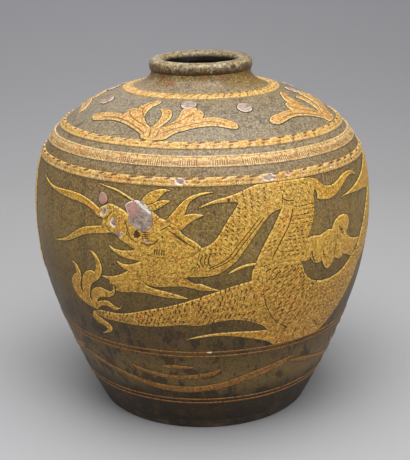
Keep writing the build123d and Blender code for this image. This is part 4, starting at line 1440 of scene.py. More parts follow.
@dataclass(frozen=True)
class Finish:
    """What every finish shares: its name, its gloss and its way of making a material."""

    name: str
    roughness: float = 0.45
    shine: float = 0.3

    def make(self) -> Material:
        """Makes the material."""
        material = bpy.data.materials.new(self.name)
        material.use_nodes = True
        base = Signal(material.node_tree)
        shader = material.node_tree.nodes["Principled BSDF"]
        base.plug(shader.inputs, {"Specular IOR Level": self.shine, **self.dress(base)})
        return material

    def dress(self, base: Signal) -> dict[str, "Signal | float"]:
        """What goes to the shader's sockets."""
        raise NotImplementedError

    @staticmethod
    def place(base: Signal) -> Signal:
        """The place on the jar."""
        return base.node("ShaderNodeTexCoord", out="Object")

    @staticmethod
    def axis(place: Signal, name: str) -> Signal:
        """One axis of the place, in metres."""
        return place.node("ShaderNodeSeparateXYZ", inputs={0: place}, out=name)

    @staticmethod
    def radial(place: Signal) -> Signal:
        """The distance from the jar's axis, in metres."""
        inputs = {0: place, 1: (1.0, 1.0, 0.0)}
        flat = place.node("ShaderNodeVectorMath", {"operation": "MULTIPLY"}, inputs)
        return flat.node("ShaderNodeVectorMath", {"operation": "LENGTH"}, {0: flat}, "Value")

    @staticmethod
    def stretched(place: Signal, scale: Place = (1.0, 1.0, 1.0), move: float = 0.0) -> Signal:
        """The place drawn out along the axes, and moved so that its patches are others."""
        inputs = {"Vector": place, "Scale": scale, "Location": (move, move, move)}
        return place.node("ShaderNodeMapping", inputs=inputs)

    @staticmethod
    def clouds(
        place: Signal, scale: float, detail: float = 4.0, rough: float = 0.55, twist: float = 0.0
    ) -> Signal:
        """Soft patches, about 0.5 in the mean; scale is patches a metre."""
        inputs = {"Vector": place, "Scale": scale, "Detail": detail}
        inputs |= {"Roughness": rough, "Distortion": twist}
        return place.node("ShaderNodeTexNoise", inputs=inputs, out="Fac")

    @staticmethod
    def dots(place: Signal, scale: float) -> Signal:
        """The distance to the nearest of scattered dots, 0 at a dot."""
        inputs = {"Vector": place, "Scale": scale, "Randomness": 1.0}
        return place.node("ShaderNodeTexVoronoi", inputs=inputs, out="Distance")

    @staticmethod
    def mark(base: Signal, name: str) -> Signal:
        """A number stored on the piece."""
        return base.node("ShaderNodeAttribute", {"attribute_name": name}, out="Fac")

    @staticmethod
    def bumped(height: Signal, depth: float) -> Signal:
        """Turns a height of 0 to 1 into a slope of the surface; depth is in metres."""
        inputs = {"Height": height, "Distance": depth, "Strength": 1.0}
        return height.node("ShaderNodeBump", inputs=inputs)


@dataclass(frozen=True)
class OliveGlaze(Finish):
    """An olive-brown ash glaze: speckled, satin, run down in streaks, pale on the shoulder partly
    as painted sheen, dark at the foot partly as painted shade.
    """

    name: str = "olive_ash_glaze"
    roughness: float = 0.46
    speckle_scale: float = 640.0
    streak_scale: float = 105.0
    bump: float = 0.0005
    # Colours by height: the pale grey shoulder is partly ash, partly a painted sheen of the light
    # from above; the near-black foot is partly its own dark run, partly painted shade.
    tone_and_painted_light_by_height: tuple[tuple[float, Colour], ...] = (
        (0.0, (30, 24, 16)), (0.045, (42, 33, 20)), (0.075, (114, 92, 48)), (0.13, (88, 67, 30)),
        (0.19, (106, 82, 33)), (0.25, (138, 111, 54)), (0.31, (126, 100, 52)),
        (0.335, (141, 122, 92)), (0.366, (132, 119, 97)), (0.382, (134, 116, 86)),
        (0.392, (128, 104, 46)),
    )

    def dress(self, base: Signal) -> dict[str, "Signal | float"]:
        """Body colour by height with painted sheen and shade in it, speckles, streaks, pits and
        painted shade inside the mouth.
        """
        place = self.place(base)
        level = self.axis(place, "Z")
        wander = self.clouds(self.stretched(place, (7, 7, 3)), 1.0, 3)
        body = (level + (wander - 0.5) * 0.05).ramp(self.tone_and_painted_light_by_height)
        streaks = self.clouds(self.stretched(place, (1, 1, 0.09)), self.streak_scale, 5, 0.6)
        fine = self.clouds(place, self.speckle_scale, 2, 0.6)
        grain = self.clouds(self.stretched(place, move=3.0), 420.0, 3, 0.65)
        patches = self.clouds(place, 34.0, 5, 0.62)
        body = streaks.between(0.52, 0.72).over(body, 0.45, (44, 33, 19))
        # The pale patches grow paler up the wall, partly with the painted sheen on the shoulder.
        lighter = level.between(0.1, 0.34).mix((94, 74, 34), (150, 134, 104))
        body = (patches.between(0.5, 0.7) * 0.35).mix(body, lighter)
        murky = self.clouds(self.stretched(place, (1, 1, 1.6), 5.0), 95.0, 4, 0.6)
        body = murky.between(0.5, 0.66).over(body, 0.32, (56, 45, 28))
        plum = self.clouds(self.stretched(place, move=8.0), 48.0, 4, 0.6)
        body = plum.between(0.54, 0.66).over(body, 0.3, (112, 78, 66))
        smudge = self.clouds(self.stretched(place, (1, 1, 0.4), 9.0), 82.0, 4, 0.6)
        smudge = smudge.between(0.5, 0.6) * (1 - level.between(0.12, 0.2))
        body = smudge.over(body, 0.75, (34, 25, 16))
        shade = ((fine - 0.5) * 1.5 + (grain - 0.5) * 1.6 + 0.5).between(0.0, 1.0)
        body = (1 - shade).between(0.45, 0.95).over(body, 0.55, (38, 29, 18))
        # The pale speckles grow paler up the wall, partly with the painted sheen on the shoulder.
        light = level.between(0.08, 0.36).mix((106, 82, 34), (200, 186, 152))
        body = (shade.between(0.55, 1.0) * 0.32).mix(body, light)
        rust = self.clouds(place, 60.0, 4, 0.6).between(0.56, 0.7)
        rust_dots = self.clouds(place, 500.0, 2).between(0.5, 0.62)
        body = (rust * rust_dots).over(body, 0.5, (116, 64, 26))
        pitted = self.clouds(place, 120.0, 2).between(0.5, 0.6)
        pit = (1 - self.dots(place, 330.0).between(0.08, 0.26)) * pitted
        body = pit.over(body, 0.8, (30, 22, 14))
        # Painted shade: the wall inside the mouth is made near black.
        inside = (1 - self.radial(place).between(0.045, 0.048)) * level.between(0.37, 0.385)
        body = inside.mix(body, (20, 15, 10))
        rusty = self.clouds(place, 55.0, 4, 0.6).between(0.45, 0.62) * level.between(0.386, 0.392)
        body = rusty.over(body, 0.55, (124, 70, 32))
        gloss = self.roughness + (fine - 0.5) * 0.3 + (patches - 0.5) * 0.15
        skin = self.bumped(grain * 0.6 + streaks * 0.4 - pit * 0.8, self.bump)
        return {"Base Color": body, "Roughness": gloss, "Normal": skin}


@dataclass(frozen=True)
class RimGlaze(Finish):
    """The lip's glaze: mottled yellow-olive and cream, worn in patches, with painted shade under
    the roll and inside the mouth.
    """

    name: str = "mottled_lip_glaze"
    roughness: float = 0.36
    shine: float = 0.45
    middle_height: float = 0.4065
    bump: float = 0.0007
    by_mottle: tuple[tuple[float, Colour], ...] = (
        (0.34, (90, 67, 34)), (0.46, (140, 120, 78)), (0.56, (172, 156, 118)),
        (0.68, (210, 202, 174)),
    )

    def dress(self, base: Signal) -> dict[str, "Signal | float"]:
        """Mottle, dark wear, and painted shade under the roll and on the inner side."""
        place = self.place(base)
        level = self.axis(place, "Z")
        mottle = self.clouds(place, 260.0, 5, 0.65, 0.4)
        fine = self.clouds(place, 700.0, 3, 0.7)
        wear = self.clouds(place, 70.0, 5, 0.65)
        body = mottle.ramp(self.by_mottle)
        behind = (self.axis(place, "Y") + self.axis(place, "X") * 0.5).between(-0.005, 0.045)
        body = behind.over(body, 0.42, (92, 77, 52))
        # Painted shade: below the roll's middle height the lip is made dark brown.
        ragged = level + (wear - 0.5) * 0.02 + (mottle - 0.5) * 0.01
        low = 1 - ragged.between(self.middle_height - 0.004, self.middle_height + 0.0072)
        body = wear.between(0.52, 0.6).over(body, 0.55, (104, 72, 32))
        body = low.over(body, 0.9, (58, 36, 16))
        body = fine.between(0.5, 0.62).over(body, 0.7, (60, 42, 20))
        # Painted shade: the lip's inner side below its top is made near black.
        inner = 1 - (self.radial(place) + (mottle - 0.5) * 0.003).between(0.0455, 0.0485)
        below = 1 - level.between(self.middle_height + 0.002, self.middle_height + 0.0068)
        body = (inner * below).mix(body, (20, 15, 10))
        gloss = self.roughness + (fine - 0.5) * 0.3
        skin = self.bumped(mottle * 0.6 + fine * 0.4, self.bump)
        return {"Base Color": body, "Roughness": gloss, "Normal": skin}


@dataclass(frozen=True)
class OchreSlip(Finish):
    """Slip under a thin glaze: pale where it stands proud, dark where glaze pooled in the cuts.

    crest is the colour of a figure's edge and core that of its middle; contour is how far in
    from the edge a dark line runs, worn how much of it is rubbed pale, dull_top how
    much painted shade darkens it high on the belly. 0 leaves any of these out.
    """

    name: str = "golden_slip"
    roughness: float = 0.42
    crest: Colour = (246, 208, 104)
    high: Colour = (210, 164, 64)
    low: Colour = (172, 122, 38)
    core: Colour = (194, 130, 34)
    core_share: float = 0.0
    crest_width: float = 1.3
    crest_share: float = 0.5
    cut_colour: Colour = (52, 32, 14)
    contour: float = 0.0
    worn: float = 0.0
    contrast: float = 1.0
    dull_top: float = 0.0
    dark_share: float = 0.42
    paler: Colour = (48, 46, 44)
    brightest: int = 252
    bump: float = 0.0005
    clay: tuple[tuple[float, Colour], ...] = (
        (0.34, (130, 106, 98)), (0.46, (164, 142, 130)), (0.56, (180, 162, 146)),
        (0.68, (204, 192, 176)),
    )

    def dress(self, base: Signal) -> dict[str, "Signal | float"]:
        """Colour by height with painted light from above and painted shade high on the belly, by
        the distance from the figure's edge and by its marks.
        """
        place = self.place(base)
        level = self.axis(place, "Z")
        marks = [self.mark(base, name) for name in ("edge", "cut", "bare", "crust", "pool")]
        edge, cut, bare, crust, pool = marks
        broad = self.clouds(place, 22.0, 4, 0.6)
        mottle = self.clouds(place, 320.0, 4, 0.7)
        fine = self.clouds(place, 760.0, 2, 0.6)
        flakes = self.clouds(place, 130.0, 4, 0.65, 0.5)
        # Browner low on the belly and paler high up: partly the slip's own tone, partly painted
        # light from above.
        body = (level + (broad - 0.5) * 0.07).between(0.14, 0.29).mix(self.low, self.high)
        # Painted shade: the figures are made duller and darker high on the belly.
        if self.dull_top:
            body = level.between(0.258, 0.3).over(body, self.dull_top, (142, 112, 62))
        if self.core_share:
            inner = edge.between(self.crest_width * 0.8, self.crest_width * 1.7)
            body = inner.over(body, self.core_share, self.core)
        blush = self.clouds(place, 46.0, 4, 0.6).between(0.52, 0.68)
        body = blush.over(body, 0.42, (206, 112, 34))
        warm = self.clouds(self.stretched(place, move=6.0), 340.0, 4, 0.7)
        body = warm.between(0.5, 0.6).over(body, 0.45, (186, 104, 38))
        body = (1 - warm).between(0.52, 0.64).over(body, 0.3, (202, 192, 98))
        ragged = edge + (mottle - 0.5) * 1.1
        rim = 1 - ragged.between(self.crest_width * 0.5, self.crest_width * 1.2)
        body = rim.over(body, self.crest_share, self.crest)
        if self.worn:
            body = flakes.between(0.52, 0.6).over(body, self.worn, (226, 190, 158))
        shade = ((fine - 0.5) * 1.7 + (mottle - 0.5) * 1.7 + 0.5).between(0.0, 1.0)
        dark = tuple(int(part * self.dark_share) for part in self.high)
        pale = tuple(min(self.brightest, part + more) for part, more in zip(self.high, self.paler))
        body = (1 - shade).between(0.4, 0.95).over(body, 0.72 * self.contrast, dark)
        body = shade.between(0.55, 1.0).over(body, 0.6 * self.contrast, pale)
        if self.contour:
            line = edge.between(self.contour - 0.6, self.contour - 0.15)
            line = line * (1 - edge.between(self.contour, self.contour + 0.5))
            body = line.over(body, 0.55, self.cut_colour)
        body = cut.between(0.05, 0.55).over(body, 0.92, self.cut_colour)
        clay = flakes.ramp(self.clay)
        clay = (1 - shade).over(clay, 0.6, (96, 70, 62))
        clay = (1 - bare.between(0.76, 1.0)).over(clay, 0.7, (178, 122, 108))
        body = bare.between(0.25, 0.65).mix(body, clay)
        body = crust.between(0.3, 0.8).over(body, 0.85, (226, 220, 206))
        body = pool.between(0.15, 0.75).mix(body, mottle.mix((44, 34, 18), (88, 70, 38)))
        gloss = self.roughness + (fine - 0.5) * 0.3 + bare * 0.3
        skin = self.bumped(mottle * 0.5 + fine * 0.5, self.bump)
        return {"Base Color": body, "Roughness": gloss, "Normal": skin}


@dataclass(frozen=True)
class RawClay(Finish):
    """Bare brown stoneware, where the jar stands and where no glaze reached."""

    name: str = "raw_stoneware"
    roughness: float = 0.8
    shine: float = 0.5
    bump: float = 0.0006

    def dress(self, base: Signal) -> dict[str, "Signal | float"]:
        """Toasted clay with grit."""
        place = self.place(base)
        mottle = self.clouds(place, 60.0, 5, 0.6)
        body = mottle.ramp([(0.35, (46, 36, 27)), (0.5, (66, 51, 37)), (0.65, (92, 71, 51))])
        body = (1 - self.dots(place, 500.0).between(0.1, 0.25)).over(body, 0.5, (46, 34, 26))
        gloss = self.roughness + (mottle - 0.5) * 0.2
        skin = self.bumped(self.clouds(place, 500.0, 5, 0.7), self.bump)
        return {"Base Color": body, "Roughness": gloss, "Normal": skin}


@dataclass(frozen=True)
class PalePaper(Finish):
    """The room's sheet of paper, which painted shade darkens up the wall."""

    name: str = "pale_paper"
    roughness: float = 0.9
    shine: float = 0.15
    # Painted shade: the paper is made darker towards the back and up the wall.
    painted_falloff_by_depth: tuple[tuple[float, Colour], ...] = (
        (-0.2, (172, 172, 174)), (0.9, (174, 174, 175)), (1.8, (144, 143, 147)),
    )

    def dress(self, base: Signal) -> dict[str, "Signal | float"]:
        """One colour that changes from the front to the back, a painted falloff of the light."""
        colour = self.axis(self.place(base), "Y").ramp(self.painted_falloff_by_depth)
        return {"Base Color": colour, "Roughness": self.roughness}


# The jar's parts.


@dataclass
class Dragons:
    """The two slip dragons that chase each other round the belly."""

    wall: JarWall
    gold: Material
    leaf: Material
    broken: Material
    low: float = 129.5
    high: float = 321.85

    def _head(self) -> Figure:
        """The head: mouth, nose, eye, beard and the scars on it."""
        return Figure("dragon_heads", cell=1.1, cuts=(
            *(Cut(((-18.2, 74.4 - k), (-16.3, 74.5 - k)), 1.1) for k in (0, 1.1, 2.2, 3.3)),
            Cut(((-18.6, 68.7), (-16.5, 67.6), (-14.6, 68.6), (-13.2, 71)), 1.6),
            Cut(((-22.6, 74), (-22, 70.5), (-20.2, 68.6)), 1.1),
            *(Cut(((x, 62.3), (x + 0.2, 65.4)), 1.3) for x in (-14.5, -13.8, -13.1, -12.3, -11.6)),
            *(Cut(((-8.5 + k, 74.8 - k), (-6 + k, 71 - k), (-3.5 + k, 68 - k)), 1.0)
              for k in (-1.2, 0, 1.2)),
            *(Cut(((-14.2 + k * 0.5, 81 + k * 0.7), (-12.8 + k * 0.5, 83.4 + k * 0.6)),
                  0.9, 0.3, 0.7) for k in range(5)),
            Cut(((-30.5, 76), (-29, 73), (-28.5, 70), (-27, 68)), 1.1),
            Cut(((-24, 80), (-23, 76), (-23.4, 72)), 1.2),
            Cut(((-31.5, 79), (-30, 80.6), (-28.4, 84)), 1.2),
            Cut(((-12.5, 76), (-10, 78.5), (-8.5, 77)), 1.0),
        ), scales=(
            Scales(((-26.5, 88), (-23.5, 80), (-22.5, 71)), ((-29.5, 86), (-27.5, 78), (-25, 69)),
                   9, 4, length=1.3, lean=60, curl=0.2, width=1.0,
                   depth=0.35, stain=0.6, untidy=0.9),
            Scales(((-14, 76), (-13, 68), (-14, 58)), ((-5, 76), (-3, 68), (-4, 60)),
                   9, 8, length=1.6, lean=40, curl=0.3, width=1.0,
                   depth=0.35, stain=0.55, untidy=0.9),
        ), spots=(
            Spot(-31.0, 84.0, 2.9, 4.8, sink=0.5, bare=1.0, crust=1.0),
            Spot(-32.3, 81.4, 2.4, 3.0, sink=0.1, chalk=0.95),
            Spot(-27.8, 78.0, 3.6, 4.6, sink=0.5, bare=1.0, crust=1.0),
            Spot(-26.3, 71.6, 3.8, 4.4, sink=0.5, bare=1.0, crust=0.6),
            Spot(-24.9, 72.0, 1.1, 3.0, sink=0.2, crust=1.0),
            Spot(-19.9, 73.0, 3.9, 4.4, sink=0.6, stain=0.75),
            Spot(-19.2, 69.6, 1.6, 1.0, crust=0.8),
            Spot(-16.6, 69.8, 3.4, 1.4, sink=0.1, bare=1.0, crust=0.6),
            Spot(-17.0, 79.6, 6.0, 8.4, sink=0.2, bare=1.0, crust=0.9),
            Spot(-6.0, 78.5, 3.4, 2.4, sink=0.4, bare=1.0, crust=0.2),
            Spot(-5.0, 76.5, 1.6, 1.2, sink=0.3, stain=1.0),
            Spot(-12.0, 72.5, 1.1, 1.4, sink=0.2, stain=0.8),
        ))

    def _mane_and_neck(self) -> tuple[Figure, ...]:
        """The mane's fine hair and the neck's row of scales between its borders."""
        mane = Figure("dragon_manes", cell=1.1, cuts=(
            Cut(((-18.5, 46), (-17, 43.8), (-15, 43.3)), 1.6),
            Cut(((-5, 49.5), (-3, 47), (0, 46.2)), 1.6),
        ), scales=(
            Scales(((-26, 60), (-22, 52), (-20, 41)), ((-2, 66), (-3, 52), (-6, 40)),
                   9, 13, length=2.4, lean=24, curl=0.3, width=1.2,
                   depth=0.4, stain=0.6, untidy=0.8),
        ))
        neck = Figure("dragon_necks", cell=1.1, cuts=(
            Cut(((1.8, 55.2), (5.4, 58.2), (7.9, 61.3), (10, 66.5), (12.1, 71.1), (14.6, 76.3),
                 (17.5, 82)), 1.1),
            Cut(((3.0, 55.0), (6.5, 57.6), (9.1, 61.0), (11.2, 66.0), (13.3, 70.6), (15.8, 75.8),
                 (18.7, 81.5)), 1.1),
            *(Cut(((-1.2 + 1.15 * k, 62 + k * 0.5), (-1.9 + 1.15 * k, 59), (-1.0 + 1.15 * k, 56)),
                  1.2) for k in range(4)),
        ), scales=(
            Scales(((0, 62), (3, 72), (7, 84), (12, 98)), ((7, 62), (11, 72), (16, 83), (24, 98)),
                   15, 5, length=2.8, lean=-50, curl=0.7, width=1.4,
                   depth=0.55, stain=0.95, untidy=0.3),
        ), spots=(Spot(8.0, 92.3, 1.6, 1.8, sink=0.3, stain=1.0),))
        return mane, neck

    def _trunk(self) -> Figure:
        """The trunk with its rows of scales."""
        return Figure("dragon_trunks", cell=1.1, cuts=(
            Cut(((28.5, 84), (27, 76), (25, 70), (23, 64), (21.3, 58.2)), 1.6),
            Cut(((24.5, 97), (25.3, 91), (27, 89), (29, 88.5)), 1.3),
        ), scales=(
            Scales(((22.4, 58), (24.4, 65), (27.0, 72), (29.5, 86)),
                   ((35, 56), (36, 64), (37.4, 74), (38, 86)),
                   13, 7, length=2.6, lean=-6, width=1.35, depth=0.55, stain=0.95, untidy=0.4),
            Scales(((24, 86), (25, 98)), ((37, 86), (36, 98)),
                   5, 7, length=2.4, lean=-30, width=1.3, depth=0.4, stain=0.8, untidy=0.7),
            Scales(((17.5, 62), (21, 70), (24, 80)), ((21, 62), (24.5, 72), (27.6, 82)),
                   8, 2, length=2.6, lean=20, curl=0.3, width=1.4, stain=1.0),
        ), spots=(
            Spot(30.0, 95.7, 1.3, 1.2, crust=0.8),
            Spot(19.5, 61.3, 1.7, 1.6, sink=0.2, bare=0.7, crust=0.7),
        ))

    def _haunch_and_tail(self) -> tuple[Figure, ...]:
        """The haunch with its long curve, and the tail with its ticks."""
        haunch = Figure("dragon_haunches", cell=1.1, cuts=(
            Cut(((18.6, 54), (18.4, 45), (18.8, 36), (20.6, 27), (23, 20), (26.4, 14.6), (29, 12)),
                2.7, 0.7, 0.92),
            Cut(((33.5, 9.5), (32.5, 6.5), (32.8, 3.5)), 1.5),
            Cut(((38.6, 10.5), (37.4, 7.5), (37.2, 4)), 1.5),
            Cut(((40.5, 11.5), (42.5, 9), (43.4, 6)), 1.3),
        ), scales=(
            Scales(((19.6, 53), (19.8, 38), (22, 27), (27, 13)),
                   ((27.5, 53), (30, 38), (34, 26), (36, 14)),
                   15, 4, length=4.4, lean=30, curl=0.4, width=1.6,
                   depth=0.55, stain=1.0, untidy=0.7),
            Scales(((27.5, 53), (30, 38), (34, 26), (36, 14)),
                   ((33, 53), (39, 38), (46, 26), (46, 12)),
                   15, 5, length=2.7, lean=48, curl=0.3, width=1.6, stain=1.0, untidy=0.9),
            Scales(((38, 37), (44, 26), (44, 4)), ((62, 36), (58, 24), (50, 6)),
                   12, 9, length=2.0, lean=-14, curl=0.4, width=1.35,
                   depth=0.45, stain=0.75, untidy=0.9),
            Scales(((15.5, 54), (16, 45)), ((18.4, 54), (18.2, 45)),
                   5, 2, length=2.6, curl=0.2, width=1.4),
        ), spots=(
            Spot(37, 37.5, 1.3, 1.3, sink=0.3, stain=1.0),
            Spot(36, 35, 1.1, 1.1, sink=0.3, stain=1.0),
            Spot(38, 33, 1.2, 1.2, sink=0.3, stain=1.0),
            Spot(26, 25, 2.0, 1.8, sink=0.1, stain=0.7),
        ))
        tail = Figure("dragon_tails", cell=1.1, scales=(
            Scales(((17, 51), (18, 18)), ((-2, 38), (-2, 21)),
                   6, 13, length=3.2, lean=70, curl=0.4, width=1.75,
                   depth=0.55, stain=1.0, untidy=0.9),
            Scales(((-3, 37), (-4, 21)), ((-23, 25.5), (-22, 17.5)),
                   4, 13, length=2.9, lean=68, curl=0.3, width=1.7,
                   depth=0.55, stain=1.0, untidy=0.85),
            Scales(((-24, 25), (-23, 17.2)), ((-39, 22), (-38, 17.6)),
                   2, 11, length=2.6, lean=68, curl=0.3, width=1.6, stain=0.95, untidy=0.8),
            Scales(((18, 46), (19, 20)), ((22, 42), (22, 20)),
                   8, 3, length=2.6, lean=30, curl=0.3, width=1.3, stain=0.9, untidy=0.8),
        ), spots=(
            Spot(12, 38.7, 0.6, 2.2, crust=0.9), Spot(14.5, 38.3, 0.6, 1.8, crust=0.9),
            Spot(-38.5, 19, 1.4, 1.4, sink=0.4, stain=1.0),
        ))
        return haunch, tail

    def _claw_and_rear(self) -> tuple[Figure, ...]:
        """The claw, and the rear of the body with its own claw."""
        claw = Figure("dragon_claws", cell=1.1, cuts=(
            Cut(((35.5, 58), (36, 54.5), (37, 51.5)), 1.7),
            Cut(((40.5, 56.5), (41, 52.5)), 1.7),
            Cut(((46, 51.5), (46.2, 54.5), (46.5, 57.5)), 1.7),
            Cut(((48.3, 68), (48.4, 66.2), (49, 65), (50.3, 62)), 1.4),
            *(Cut(((45 + 0.7 * k, 60), (46 + 0.7 * k, 63.6)), 0.9, 0.4, 0.6) for k in range(5)),
        ), spots=(
            Spot(49.5, 65.5, 1.5, 1.6, sink=0.3, stain=1.0),
            Spot(48.5, 81, 2.0, 2.0, sink=0.3, bare=0.9, crust=0.8),
        ))
        rear = Figure("dragon_rear_bodies", cell=1.25, scales=(
            Scales(((52, 78), (56, 60), (60, 40)), ((86, 70), (84, 55), (82, 40)),
                   12, 16, length=3.4, lean=10, curl=0.35),
        ))
        return claw, rear, Figure("dragon_rear_claws", cell=1.2)

    def _ears(self) -> Figure:
        """The two ears with their fine hair."""
        return Figure("dragon_ears", Back.LEAF, 1.1, scales=(
            Scales(((-16, 90), (-12, 97), (-7, 99)), ((-15, 84), (-11, 90), (-6, 95)),
                   9, 4, length=1.7, lean=60, curl=0.2, width=1.0,
                   depth=0.35, stain=0.7, untidy=0.8),
            Scales(((-14, 83), (-10, 85), (-6, 86)), ((-13, 80), (-10, 80), (-7, 82)),
                   6, 3, length=1.6, lean=60, curl=0.2, width=1.0,
                   depth=0.35, stain=0.7, untidy=0.8),
        ))

    def _scars(self) -> tuple[Figure, ...]:
        """The broken places on brow and nose, the brow's with a pale streak along its edge."""
        streak = (
            *(Spot(-20.4 + 0.75 * k, 91.4 - k, 2.5, 1.9, sink=-0.1, chalk=0.75 + 0.25 * (k % 2))
              for k in range(7)),
            *(Spot(-22.6 + 0.35 * k, 79.5 - 1.5 * k, 1.1, 1.6, crust=1.0) for k in range(4)),
            Spot(-21.6, 87.0, 7.6, 9.0, sink=0.3, bare=1.0),
        )
        nose = (Spot(-32, 90, 6, 9, sink=0.2, bare=1.0),)
        return (Figure("dragon_brow_stubs", Back.BROKEN, 0.95, spots=streak),
                Figure("dragon_nose_stubs", Back.BROKEN, 0.95, spots=nose, rim_crust=0.4))

    def figures(self) -> tuple[Figure, ...]:
        """Every figure of one dragon with what is cut in it."""
        leaves = (
            Figure(f"dragon_{name}", Back.LEAF, 1.15)
            for name in ("horns", "feelers", "upper_whiskers", "lower_whiskers", "shoulder_fins",
                         "belly_fins", "hairs", "back_flames", "tail_flames")
        )
        return (self._head(), *self._mane_and_neck(), self._trunk(), *self._haunch_and_tail(),
                *self._claw_and_rear(), self._ears(), *self._scars(), *leaves)

    def build(self) -> list[Piece]:
        """Builds both dragons."""
        zone = FieldOfWall(self.wall, self.low, self.high, 2)
        dressed = SlipSet(self.wall, zone, self.figures(), "ochre_slip", self.gold,
                          finish_of={Back.LEAF: self.leaf, Back.BROKEN: self.broken},
                          slot_of={Back.BROKEN: "broken_clay"})
        return dressed.build()


@dataclass
class ShoulderFigures:
    """The flame-shaped sprays on the shoulder and the broken lugs' stubs, four times round."""

    wall: JarWall
    leaf: Material
    broken: Material
    low: float = 372.4
    high: float = 447.8
    copies: int = 4
    spray_turn: float = -19.6
    spray_lift: float = 1.35
    stub_lift: float = 1.85
    stub_edge_share: float = 0.5

    def spray(self) -> Figure:
        """One spray with its veins; its degrees are counted from its foot."""
        veins = (
            ((-4.0, 14), (-10, 25), (-17, 34), (-24, 37), (-31, 33)),
            ((-5.0, 27), (-11, 36), (-16, 45), (-19, 55)),
            ((-3.5, 30), (-8, 45), (-11.5, 58), (-12, 72), (-9, 83)),
            ((3.0, 14), (9, 25), (16, 34), (23, 39), (30, 34)),
            ((3.5, 27), (8, 36), (12, 46), (16, 58)),
            ((1.6, 8), (2.2, 20)), ((-1.2, 8), (-1.8, 20)),
        )
        cuts = tuple(Cut(vein, 1.5, 0.5, 0.95) for vein in veins)
        return Figure("shoulder_sprays", Back.LEAF, 1.1, cuts)

    def build(self) -> list[Piece]:
        """Builds the sprays and the stubs."""
        zone = FieldOfWall(self.wall, self.low, self.high, self.copies)
        turned = FieldOfWall(self.wall, self.low, self.high, self.copies, self.spray_turn)
        stub = Figure("lug_stubs", Back.BROKEN, 0.9, rim_crust=0.7)
        sprays = SlipSet(self.wall, turned, (self.spray(),), "ochre_slip", self.leaf,
                         self.spray_lift)
        stubs = SlipSet(self.wall, zone, (stub,), "broken_clay", self.broken,
                        self.stub_lift, self.stub_edge_share)
        return sprays.build() + stubs.build()


@dataclass
class WaveRing:
    """The trailed slip waves and dashes round the foot of the jar."""

    wall: JarWall
    finish: Material
    nodes: tuple[str, ...] = ("long_waves", "short_waves", "wave_dashes")
    low: float = 54.2
    high: float = 121.3
    copies: int = 4
    cell: float = 0.8
    lift: float = 1.05
    edge_share: float = 0.4
    edge_round: float = 0.8

    def build(self) -> list[Piece]:
        """Builds the three sorts of trailed line."""
        zone = FieldOfWall(self.wall, self.low, self.high, self.copies)
        figures = tuple(Figure(node, Back.DOMED, self.cell) for node in self.nodes)
        return SlipSet(self.wall, zone, figures, "rust_slip", self.finish, self.lift,
                       self.edge_share, self.edge_round).build()


@dataclass(frozen=True)
class SoftLight:
    """A square soft light, turned to a point on the jar's axis."""

    name: str
    place: Place
    size: float
    watts: float
    aim_height: float

    def build(self) -> Piece:
        """Adds the light."""
        bpy.ops.object.light_add(type="AREA", location=self.place)
        lamp = bpy.context.active_object
        lamp.name = self.name
        way = Vector((0.0, 0.0, self.aim_height)) - Vector(self.place)
        lamp.rotation_euler = way.to_track_quat("-Z", "Y").to_euler()
        lamp.data.shape = "SQUARE"
        lamp.data.size = self.size
        lamp.data.energy = self.watts
        return lamp


